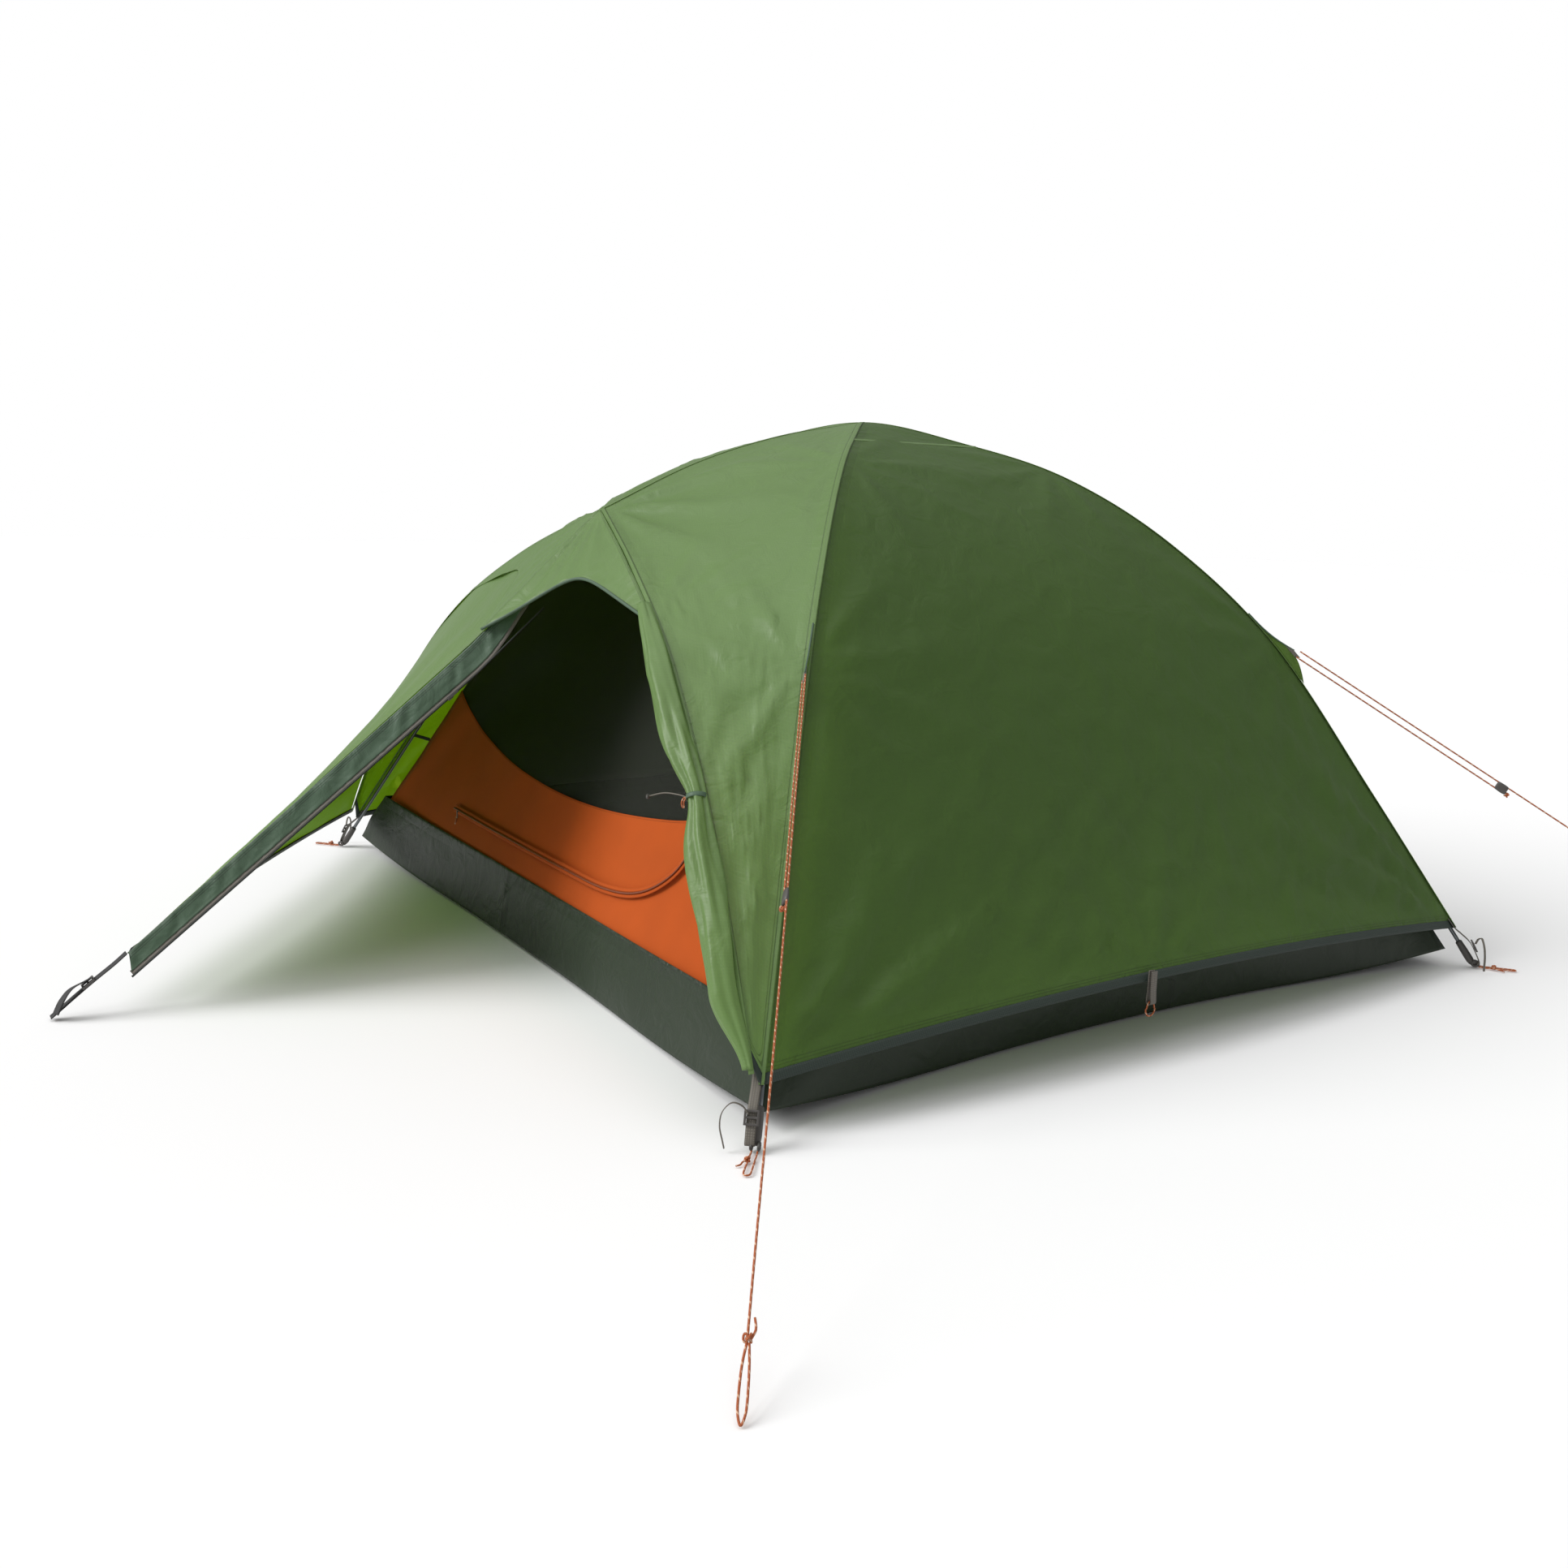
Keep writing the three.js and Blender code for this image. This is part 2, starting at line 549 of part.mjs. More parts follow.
// ---------------------------------------------------------------- guy lines
function guyLine(key, [sx, sy]) {
  const tip = vec(
    (sx * guy.tipRadial * feet.halfLength) / reach, (sy * guy.tipRadial * feet.halfWidth) / reach, guy.tipHeight,
  );
  const [stakeX, stakeY] = guy.stakes[key];
  const stake = vec(stakeX, stakeY, guy.radius + 0.6);
  const run = stake.clone().sub(tip).normalize();
  const side = vec(0, 0, 1).cross(run).normalize().applyAxisAngle(run, guy.twist);
  const depth = run.clone().cross(side);
  const radial = vec(sx * feet.halfLength, sy * feet.halfWidth, 0).normalize();

  // The gusset is a triangle of cloth in the diagonal plane, with its base just off the seam.
  const base = [0.63, 0.712].map((v) => arcAt(v));
  const flatTip = new THREE.Vector2(guy.tipRadial - 4, guy.tipHeight + 1);
  const off = new THREE.Vector2(4, 4);
  const gusset = new THREE.Shape([
    new THREE.Vector2(base[0].x, base[0].z).add(off), new THREE.Vector2(base[1].x, base[1].z).add(off),
    flatTip.clone().add(new THREE.Vector2(-3, -7)), flatTip.clone().add(new THREE.Vector2(3, 4)),
  ]);
  add(`guy_gusset_${key}`, plate(gusset, 2, vec(0, 0, 0), vec(0, 0, 1), radial), colours.flyGreen);

  const shift = side.clone().multiplyScalar(guy.strandGap / 2);
  const start = tip.clone().addScaledVector(run, 4);
  const runner = tip.clone().addScaledVector(run, guy.runnerAt);
  const returnEnd = runner.clone().addScaledVector(run, guy.runnerLength / 2 + 3);
  const knot = stake.clone().addScaledVector(run, -guy.knotFromEnd);
  const loopSide = side.clone().multiplyScalar(5);
  const line = [];
  for (let i = 0; i <= 10; i += 1) {
    const inLine = THREE.MathUtils.smoothstep(i / 10, 0.55, 1);
    line.push(start.clone().lerp(knot, i / 10).addScaledVector(side, (0.5 * guy.strandGap) * (1 - inLine) - 1.9 * inLine));
  }
  const loop = [[0.3, -4], [0.6, -5], [0.85, -4.5], [1, 0], [0.85, 4.5], [0.6, 5], [0.3, 4], [0.04, 1.9]];
  for (const [t, across] of loop) {
    line.push(knot.clone().lerp(stake, t).addScaledVector(side, across).addScaledVector(vec(0, 0, 1), 0.2));
  }
  add(`guy_line_${key}`, rod(line, guy.radius, 70), colours.cord, 0.7);
  const back = [start.clone().sub(shift), returnEnd.clone().sub(shift)];
  add(`guy_return_${key}`, rod(back, guy.radius, 1), colours.cord, 0.7);

  // The runner is a wedge with one eye for each strand.
  const wedge = roundedRectangle(26, 11, 4);
  for (const x of [-guy.strandGap / 2, guy.strandGap / 2]) {
    const eye = new THREE.Path();
    eye.absarc(x, 0, guy.radius + 0.7, 0, 2 * Math.PI);
    wedge.holes.push(eye);
  }
  add(`guy_runner_${key}`, plate(wedge, guy.runnerLength, runner, depth, side), colours.plastic, 0.5);
  const knotRing = new THREE.TorusGeometry(6.2, 2, 8, 14);
  knotRing.applyQuaternion(new THREE.Quaternion().setFromUnitVectors(vec(0, 0, 1), run));
  const knotCentre = knot.clone().addScaledVector(run, -2);
  knotRing.translate(knotCentre.x, knotCentre.y, knotCentre.z);
  add(`guy_knot_${key}`, positionsOnly(knotRing), colours.cord, 0.7);
}

flysheet();
browHood();
porchPanel();
rolledDoor();
groundsheet();
innerTent();
poles();
cornerFittings();
sidePegging('right', 1);
sidePegging('left', -1);
porchFittings();
guyLine('a', corners.a);
guyLine('c', corners.c);

export default tent;
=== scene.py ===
"""Three-person ridge-porch tent, pitched: the looks of its cloth, poles, cords and fittings."""

import json
import math
from functools import lru_cache

import bmesh
import bpy
from bpy.props import FloatProperty, FloatVectorProperty, PointerProperty
from mathutils import Matrix, Vector, noise

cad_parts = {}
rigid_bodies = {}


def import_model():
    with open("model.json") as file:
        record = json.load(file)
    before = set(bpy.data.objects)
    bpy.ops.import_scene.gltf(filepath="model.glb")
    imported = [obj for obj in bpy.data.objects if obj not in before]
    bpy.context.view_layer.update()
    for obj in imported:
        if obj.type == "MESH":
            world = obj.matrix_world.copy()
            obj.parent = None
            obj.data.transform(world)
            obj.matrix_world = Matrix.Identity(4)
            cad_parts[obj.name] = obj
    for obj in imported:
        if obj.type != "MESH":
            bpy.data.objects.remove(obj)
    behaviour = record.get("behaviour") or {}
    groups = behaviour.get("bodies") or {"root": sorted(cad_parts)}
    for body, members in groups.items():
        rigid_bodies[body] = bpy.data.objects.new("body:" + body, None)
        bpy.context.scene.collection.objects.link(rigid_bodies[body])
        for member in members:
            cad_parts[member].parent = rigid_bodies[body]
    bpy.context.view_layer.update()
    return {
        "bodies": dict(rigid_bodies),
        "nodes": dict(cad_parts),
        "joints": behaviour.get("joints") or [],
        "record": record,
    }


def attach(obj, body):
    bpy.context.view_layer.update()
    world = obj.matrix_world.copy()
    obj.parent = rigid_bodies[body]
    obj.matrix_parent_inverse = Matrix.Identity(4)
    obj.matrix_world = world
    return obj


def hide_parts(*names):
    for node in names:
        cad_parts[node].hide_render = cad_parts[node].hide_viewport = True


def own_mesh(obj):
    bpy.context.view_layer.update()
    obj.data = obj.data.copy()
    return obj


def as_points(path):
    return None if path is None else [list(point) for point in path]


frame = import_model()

bl_info = {
    "name": "Ridge-porch tent",
    "version": (1, 0, 0),
    "blender": (4, 5, 0),
    "location": "View3D > Sidebar > Tent",
    "description": "Builds a pitched tent's cloth, poles, cords and fittings round its frame",
    "category": "Object",
}

MM = 0.001
TENT = "tent"

# ---------------------------------------------------------------- the pitched shape, in metres
FEET = (1.092, 0.936)
REACH = math.hypot(*FEET)
POLE_HEIGHTS = (1.163, 1.118, 1.045, 0.907, 0.695, 0.371, 0.031)
ARC_STEPS = len(POLE_HEIGHTS) - 1
ARC = [Vector((REACH * i / ARC_STEPS, 0, POLE_HEIGHTS[abs(i)])) for i in range(-1, ARC_STEPS + 1)]
RIDGE = [Vector(p) for p in ((0, 0, 1.163), (0, -0.225, 1.122), (0, -0.45, 1.052), (0, -0.674, 0.948))]
BROW_SEAM = [Vector(p) for p in (
    (0, -0.674, 0.948), (0.28, -0.745, 0.842), (0.54, -0.805, 0.702),
    (0.76, -0.855, 0.507), (0.93, -0.895, 0.298), (1.072, -0.928, 0.078))]
CORNERS = {"a": (1, -1), "b": (-1, -1), "c": (1, 1), "d": (-1, 1)}
BROW_V = 0.47
HEM_V = 0.972
WALL_TOP_V = 0.012
JOINT_V = 0.52
POLE_END_V = 0.99
UNDER_FLY = 0.011
CREASE = [Vector(p) for p in ((0, -0.69, 0.928), (0, -0.97, 0.668), (0, -1.666, 0.094))]
CREASE_BEND = 0.29
ZIP_DROP = Vector((0.035, 0, -0.05))
HOOD_TOP = Vector((0, -0.676, 0.952))
HOOD_REACH = Vector((0, -0.946, 0.699))
HOOD_SEAM, HOOD_ARCH = 0.345, 0.36
FLOOR_HALF = (1.05, 0.9)
WALL_HEIGHT = 0.15
INNER_SCALE = 0.955
INNER_TOP_V, INNER_BOTTOM_V = 0.02, 0.943
ORANGE_MID_V, ORANGE_RISE = 0.845, 0.068
GUY_TIP = (1.01, 0.676)
GUY_STAKES = {"a": (1.651, -1.3), "c": (1.615, 1.387)}
STRAND_GAP = 0.015
RUNNER_AT, RUNNER_LENGTH = 0.52, 0.012
KNOT_FROM_END = 0.095
RING_AT = (1.101, -0.1, 0.098)
RING_RADIUS = 0.014
TOGGLE_AT = Vector((0.627, -0.885, 0.458))
HEM_RUN = 1.75
GUY_TWIST = 1.22
STITCH_HALF = 0.8 * MM  # half the width of a row of stitches
WELD = 0.00002
CAMERA_AT, CAMERA_ANGLES = (2.795, -2.014, 0.958), (56.91, 10.958, 1.661)
SENSOR_MM, LENS_MM = 36, 32.58
STUDIO_HALF, STUDIO_DROP = 30, 0.0015
SUNS = (("key", (-0.35, -0.75, 0.56), 2.4, 35), ("overhead", (-0.1, -0.1, 1), 0.9, 60))
ROOM_STRENGTH, BACKDROP_STRENGTH = 0.42, 1
CORD_REST = 0.0022  # height of a guy line's end above the ground
FLY_WALL_GRID, FLY_FRONT_GRID = (96, 112), (64, 112)
PORCH_STRAP_TOP, PORCH_STRAP_FOOT = Vector((0, -1.674, 0.09)), Vector((0, -1.784, 0.005))
PORCH_WEBBING, SIDE_TAB_WIDTH, CORNER_TAIL_WIDTH = 0.019, 0.014, 0.0042
PORCH_ZIP_TAPE, INNER_ZIP_TAPE = 0.012, 0.019
CORNER_LADDER = (0.0235, 0.024, 0.0036, 0.0034)  # width, height, thickness and bar
PORCH_LADDER = (0.027, 0.026, 0.004, 0.0035)
WAVE_PERIOD = math.pi / 10  # what one band of a wave texture measures at scale 1


def spline(points, share):
    """The point at a share of the way along a smooth line through evenly spaced points."""
    last = len(points) - 1
    place = min(max(share, 0), 1) * last
    i = min(int(place), last - 1)
    f = place - i
    p1, p2 = points[i], points[i + 1]
    p0 = points[i - 1] if i else 2 * p1 - p2
    p3 = points[i + 2] if i + 2 <= last else 2 * p2 - p1
    return 0.5 * (2 * p1 + (p2 - p0) * f + (2 * p0 - 5 * p1 + 4 * p2 - p3) * f ** 2
                  + (3 * p1 - p0 - 3 * p2 + p3) * f ** 3)


@lru_cache(maxsize=None)
def arc_at(v):
    return spline(ARC, (v * ARC_STEPS + 1) / (ARC_STEPS + 1))


def on_diagonal(flat, corner):
    sx, sy = CORNERS[corner]
    return Vector((sx * flat.x * FEET[0] / REACH, sy * flat.x * FEET[1] / REACH, flat.z))


@lru_cache(maxsize=None)
def pole_seam(corner, v):
    return on_diagonal(arc_at(v), corner)


@lru_cache(maxsize=None)
def brow_seam(share, side=1):
    point = spline(BROW_SEAM, share)
    return Vector((side * point.x, point.y, point.z))


@lru_cache(maxsize=None)
def front_edge(v, side):
    """The inner edge of a front panel: the ridge down to the brow, then the brow seam to the foot."""
    if v < BROW_V:
        return spline(RIDGE, v / BROW_V)
    return brow_seam((v - BROW_V) / (1 - BROW_V), side)


def row_of(v):
    """Half of the flysheet's rows lie above the brow and half below it."""
    return BROW_V * 2 * v if v < 0.5 else BROW_V + (HEM_V - BROW_V) * (2 * v - 1)


def mix(a, b, share):
    return a + (b - a) * share


def smooth(low, high, value):
    share = min(max((value - low) / (high - low), 0), 1)
    return share * share * (3 - 2 * share)


def crease(share):
    top, bend, tip = CREASE
    if share < CREASE_BEND:
        return mix(top, bend, share / CREASE_BEND)
    return mix(bend, tip, (share - CREASE_BEND) / (1 - CREASE_BEND))


def zip_edge(v):
    return crease(0.14 + 0.84 * v) + ZIP_DROP * (1 - 0.35 * v)


def pole_centre(v):
    ahead = (arc_at(v + 0.001) - arc_at(v - 0.001)).normalized() if v < 0.998 else Vector((0, 0, -1))
    return arc_at(v) + Vector((ahead.z, 0, -ahead.x)) * UNDER_FLY


def corner_frame(corner):
    """A corner's own frame: the origin under the pole's foot and +X outwards along the diagonal."""
    sx, sy = CORNERS[corner]
    turn = Matrix.Rotation(math.atan2(sy * FEET[1], sx * FEET[0]), 4, "Z")
    return Matrix.Translation((sx * FEET[0], sy * FEET[1], 0)) @ turn


# ---------------------------------------------------------------- sizes and colours a user may change
def linear(code):
    """A colour given as sRGB hex, as linear red, green, blue and alpha."""
    parts = [int(code[i:i + 2], 16) / 255 for i in (1, 3, 5)]
    return tuple(c / 12.92 if c <= 0.04045 else ((c + 0.055) / 1.055) ** 2.4 for c in parts) + (1,)


def size_property(name, description, default):
    return FloatProperty(name=name, description=description, default=default, min=0, unit="LENGTH")


def colour_property(name, description, code):
    return FloatVectorProperty(name=name, description=description, default=linear(code), size=4,
                               min=0, max=1, subtype="COLOR")


class TentSizes(bpy.types.PropertyGroup):
    cloth_thickness: size_property("Cloth", "Thickness of the flysheet as drawn", 0.0008)
    fold_height: size_property("Folds", "Height of the largest folds in the flysheet", 0.012)
    crumple_height: size_property("Crumples", "Height of the small creases in the flysheet", 0.0036)
    binding_width: size_property("Binding", "Width of the tape that binds the hem", 0.013)
    seam_width: size_property("Seam", "Width of a felled seam", 0.009)
    guy_diameter: size_property("Guy line", "Diameter of the guy lines", 0.0032)
    loop_diameter: size_property("Peg loop", "Diameter of the elastic peg loops", 0.003)
    pole_diameter: size_property("Pole", "Outside diameter of the poles", 0.0085)
    webbing_width: size_property("Webbing", "Width of the corner webbing", 0.016)


class TentColours(bpy.types.PropertyGroup):
    # Painted light and shade: the flysheet is one fabric drawn in two tones. The side and rear walls take a
    # darker tone as painted shade, and the front panels, hood and porch a lighter tone as painted light and
    # sheen.
    fly_side_shaded: colour_property("Fly sides", "Side and rear walls of the flysheet", "#4B672A")
    fly_front_lit: colour_property("Fly front", "Front panels, hood and porch", "#6C8A4F")
    # Inner face: partly its own colour and partly painted light, made brighter and more lime than the cloth to
    # stand in for daylight shining through it.
    fly_inside: colour_property("Fly inside", "The coated inner face of the flysheet", "#6BAA1C")
    fly_glow: colour_property("Fly glow", "Daylight seen through the flysheet", "#B8D640")
    fly_trim: colour_property("Trim", "Zip flap and piping", "#48604A")
    binding: colour_property("Binding", "Tape along the hems", "#26342C")
    groundsheet: colour_property("Groundsheet", "Floor and its walls", "#16260F")
    inner_cloth: colour_property("Inner cloth", "Breathable walls of the inner tent", "#7C7E78")
    inner_mesh: colour_property("Inner mesh", "Insect mesh of the inner tent", "#2A2D24")
    inner_orange: colour_property("Inner orange", "Low front panel of the inner tent", "#C25412")
    alloy: colour_property("Alloy", "Anodised poles", "#6E7274")
    plastic: colour_property("Plastic", "Feet, buckles and runners", "#4A4744")
    webbing: colour_property("Webbing", "Straps and tabs", "#6A655C")
    cord: colour_property("Cord", "Guy lines and peg loops", "#BE6434")


def sizes():
    return bpy.context.scene.tent_sizes


def colours():
    return bpy.context.scene.tent_colours


# ---------------------------------------------------------------- materials
def add_node(tree, kind, inputs=None, **settings):
    """Adds one node with its settings; inputs holds values or the sockets that feed it."""
    made = tree.nodes.new("ShaderNode" + kind)
    for key, value in settings.items():
        setattr(made, key, value)
    for key, value in (inputs or {}).items():
        if isinstance(value, bpy.types.NodeSocket):
            tree.links.new(value, made.inputs[key])
        else:
            made.inputs[key].default_value = value
    return made


def blended(tree, factor, first, second):
    return add_node(tree, "Mix", {"Factor": factor, 6: first, 7: second}, data_type="RGBA").outputs[2]


def calculated(tree, operation, *values):
    return add_node(tree, "Math", dict(enumerate(values)), operation=operation).outputs[0]


def bands(tree, vector, apart_mm, direction):
    scale = WAVE_PERIOD / (apart_mm * MM)
    wave = add_node(tree, "TexWave", {"Vector": vector, "Scale": scale}, bands_direction=direction)
    return wave.outputs["Fac"]


def speckle(tree, vector, scale, detail):
    return add_node(tree, "TexNoise", {"Vector": vector, "Scale": scale, "Detail": detail}).outputs["Fac"]


def bumped(tree, height, strength, distance, below=None, invert=False):
    inputs = {"Height": height, "Strength": strength, "Distance": distance}
    if below is not None:
        inputs["Normal"] = below
    return add_node(tree, "Bump", inputs, invert=invert).outputs[0]


def cloth_uv(tree):
    return add_node(tree, "UVMap", uv_map="cloth").outputs["UV"]


def object_place(tree):
    return add_node(tree, "TexCoord").outputs["Object"]


def from_seam(tree):
    """How far a point lies from the nearest sewn edge, in metres."""
    return add_node(tree, "Attribute", attribute_name="seam").outputs["Fac"]


def new_material(name):
    material = bpy.data.materials.new(name)
    material.use_nodes = True
    material.node_tree.nodes.clear()
    return material, material.node_tree


def finish_material(material, shader):
    add_node(material.node_tree, "OutputMaterial", {"Surface": shader})
    return material


def shaded(colour, factor):
    return tuple(min(1, c * factor) for c in colour[:3]) + (1,)


def coated_cloth(name, colour, through, roughness=0.52, grid_mm=6, through_share=0.3):
    """Ripstop polyester with a silicone coat: a woven grid of thicker threads and a soft sheen."""
    material, tree = new_material(name)
    flat = cloth_uv(tree)
    place = object_place(tree)
    threads = [bands(tree, flat, grid_mm, axis) for axis in "XY"]
    grid = calculated(tree, "MAXIMUM", threads[0], threads[1])
    raised = add_node(tree, "MapRange", {0: grid, 1: 0.8, 2: 1.0}).outputs[0]
    mottle = speckle(tree, place, 3, 4)
    crumple = add_node(tree, "TexNoise", {"Vector": place, "Scale": 17, "Detail": 4,
                                          "Distortion": 1}).outputs["Fac"]
    seam = from_seam(tree)
    # Two rows of stitches, 3 mm and 8 mm in from the sewn edge, each a 1.6 mm wide dark groove.
    rows = [calculated(tree, "COMPARE", seam, at * MM, STITCH_HALF)
            for at in (3, 8)]
    stitched = calculated(tree, "MAXIMUM", rows[0], rows[1])
    toned = blended(tree, mottle, shaded(colour, 0.88), shaded(colour, 1.1))
    woven = blended(tree, raised, toned, shaded(colour, 1.22))
    faint = blended(tree, 0.3, toned, woven)
    sewn = blended(tree, stitched, faint, shaded(colour, 0.5))
    # Thread drawn tight gathers the cloth within 30 mm of a seam.
    gathered = add_node(tree, "MapRange", {0: seam, 2: 30 * MM, 3: 2.6, 4: 1}).outputs[0]
    crumple = calculated(tree, "MULTIPLY", crumple, gathered)
    fine = bumped(tree, raised, 0.12, 0.3 * MM)
    folded = bumped(tree, crumple, 0.5, 7 * MM, fine)
    sunk = bumped(tree, stitched, 0.5, 0.8 * MM, folded, invert=True)
    cloth = add_node(tree, "BsdfPrincipled", {"Base Color": sewn, "Roughness": roughness, "IOR": 1.5,
                                              "Sheen Weight": 0.04, "Sheen Roughness": 0.4,
                                              "Normal": sunk}).outputs[0]
    lit = add_node(tree, "BsdfTranslucent", {"Color": through, "Normal": folded}).outputs[0]
    both = add_node(tree, "MixShader", {0: through_share, 1: cloth, 2: lit}).outputs[0]
    return finish_material(material, both)


def breathable_cloth(name, colour, through_share=0.2):
    """Uncoated brushed polyester: matt, with a fine plain weave and lint-soft tone."""
    material, tree = new_material(name)
    flat = cloth_uv(tree)
    place = object_place(tree)
    # Threads 0.4 mm apart are too fine to show, so the weave is drawn 3 mm apart.
    threads = [bands(tree, flat, 3, axis) for axis in "XY"]
    weave = calculated(tree, "MULTIPLY", threads[0], threads[1])
    mottle = speckle(tree, place, 9, 5)
    seam = from_seam(tree)
    stitched = calculated(tree, "COMPARE", seam, 7 * MM, STITCH_HALF)
    toned = blended(tree, mottle, shaded(colour, 0.85), shaded(colour, 1.12))
    sewn = blended(tree, stitched, toned, shaded(colour, 0.55))
    bump = bumped(tree, weave, 0.2, 0.2 * MM)
    soft = bumped(tree, mottle, 0.3, 4 * MM, bump)
    cloth = add_node(tree, "BsdfPrincipled", {"Base Color": sewn, "Roughness": 0.8, "Sheen Weight": 0.04,
                                              "Specular IOR Level": 0.25,
                                              "Normal": soft}).outputs[0]
    lit = add_node(tree, "BsdfTranslucent", {"Color": shaded(colour, 1.3)}).outputs[0]
    both = add_node(tree, "MixShader", {0: through_share, 1: cloth, 2: lit}).outputs[0]
    return finish_material(material, both)


def insect_mesh(name, colour, alpha=0.32):
    """Knitted polyester mesh: holes too fine to see one by one, so it lets a share of light through."""
    material, tree = new_material(name)
    flat = cloth_uv(tree)
    knit = add_node(tree, "TexVoronoi", {"Vector": flat, "Scale": 1 / (2 * MM)}).outputs["Distance"]
    tone = blended(tree, knit, shaded(colour, 0.9), shaded(colour, 1.15))
    shader = add_node(tree, "BsdfPrincipled", {"Base Color": tone, "Roughness": 0.85, "Alpha": alpha})
    return finish_material(material, shader.outputs[0])


def woven_webbing(name, colour):
    """Nylon webbing: ribs across the strap, drawn 2.4 mm apart, and a slightly glossy thread."""
    material, tree = new_material(name)
    flat = cloth_uv(tree)
    ribs = bands(tree, flat, 2.4, "Y")
    cords = bands(tree, flat, 4, "X")
    weave = calculated(tree, "MULTIPLY", ribs, cords)
    tone = blended(tree, weave, shaded(colour, 0.7), shaded(colour, 1.4))
    bump = bumped(tree, weave, 0.6, 0.5 * MM)
    shader = add_node(tree, "BsdfPrincipled", {"Base Color": tone, "Roughness": 0.6, "Normal": bump})
    return finish_material(material, shader.outputs[0])


def braided_cord(name, colour):
    """Braided polyester cord: crossing strands with a pale reflective thread among them."""
    material, tree = new_material(name)
    flat = cloth_uv(tree)
    strands = []
    for turn in (1, -1):
        slanted = add_node(tree, "Mapping", {"Vector": flat, "Rotation": (0, 0, turn * 0.7)}).outputs[0]
        strands.append(add_node(tree, "TexWave", {"Vector": slanted, "Scale": WAVE_PERIOD / (2.2 * MM)})
                       .outputs["Fac"])
    braid = calculated(tree, "MULTIPLY", strands[0], strands[1])
    thread = bands(tree, flat, 9, "DIAGONAL")
    fleck = calculated(tree, "GREATER_THAN", thread, 0.93)
    tone = blended(tree, braid, shaded(colour, 0.6), shaded(colour, 1.15))
    flecked = blended(tree, fleck, tone, linear("#CFA98C"))
    bump = bumped(tree, braid, 0.7, 0.4 * MM)
    shader = add_node(tree, "BsdfPrincipled", {"Base Color": flecked, "Roughness": 0.65, "Normal": bump})
    return finish_material(material, shader.outputs[0])


def moulded_acetal(name, colour):
    """Moulded acetal: matt with a fine spark-eroded grain."""
    material, tree = new_material(name)
    place = object_place(tree)
    grain = speckle(tree, place, 900, 2)
    tone = blended(tree, grain, shaded(colour, 0.85), shaded(colour, 1.15))
    rough = add_node(tree, "MapRange", {0: grain, 3: 0.38, 4: 0.55}).outputs[0]
    bump = bumped(tree, grain, 0.15, 0.2 * MM)
    shader = add_node(tree, "BsdfPrincipled", {"Base Color": tone, "Roughness": rough, "Normal": bump})
    return finish_material(material, shader.outputs[0])


def anodised_aluminium(name, colour):
    """Drawn and anodised aluminium tube: satin, with faint draw lines along it."""
    material, tree = new_material(name)
    flat = cloth_uv(tree)
    lines = add_node(tree, "Mapping", {"Vector": flat, "Scale": (4000, 30, 1)}).outputs[0]
    drawn = add_node(tree, "TexNoise", {"Vector": lines, "Scale": 1, "Detail": 3}).outputs["Fac"]
    tone = blended(tree, drawn, shaded(colour, 0.85), shaded(colour, 1.1))
    rough = add_node(tree, "MapRange", {0: drawn, 3: 0.28, 4: 0.42}).outputs[0]
    shader = add_node(tree, "BsdfPrincipled", {"Base Color": tone, "Metallic": 1, "Roughness": rough})
    return finish_material(material, shader.outputs[0])


def zip_coil(name, colour):
    """Nylon coil zip: turns of a thin monofilament across the tape, drawn 3 mm apart."""
    material, tree = new_material(name)
    flat = cloth_uv(tree)
    turns = bands(tree, flat, 3, "Y")
    tone = blended(tree, turns, shaded(colour, 0.45), shaded(colour, 1.3))
    bump = bumped(tree, turns, 0.8, 0.6 * MM)
    shader = add_node(tree, "BsdfPrincipled", {"Base Color": tone, "Roughness": 0.45, "Normal": bump})
    return finish_material(material, shader.outputs[0])


def studio_paper(name):
    """Matt white background paper."""
    material, tree = new_material(name)
    shader = add_node(tree, "BsdfPrincipled", {"Base Color": linear("#F4F4F4"), "Roughness": 0.9,
                                               "Specular IOR Level": 0.1})
    return finish_material(material, shader.outputs[0])


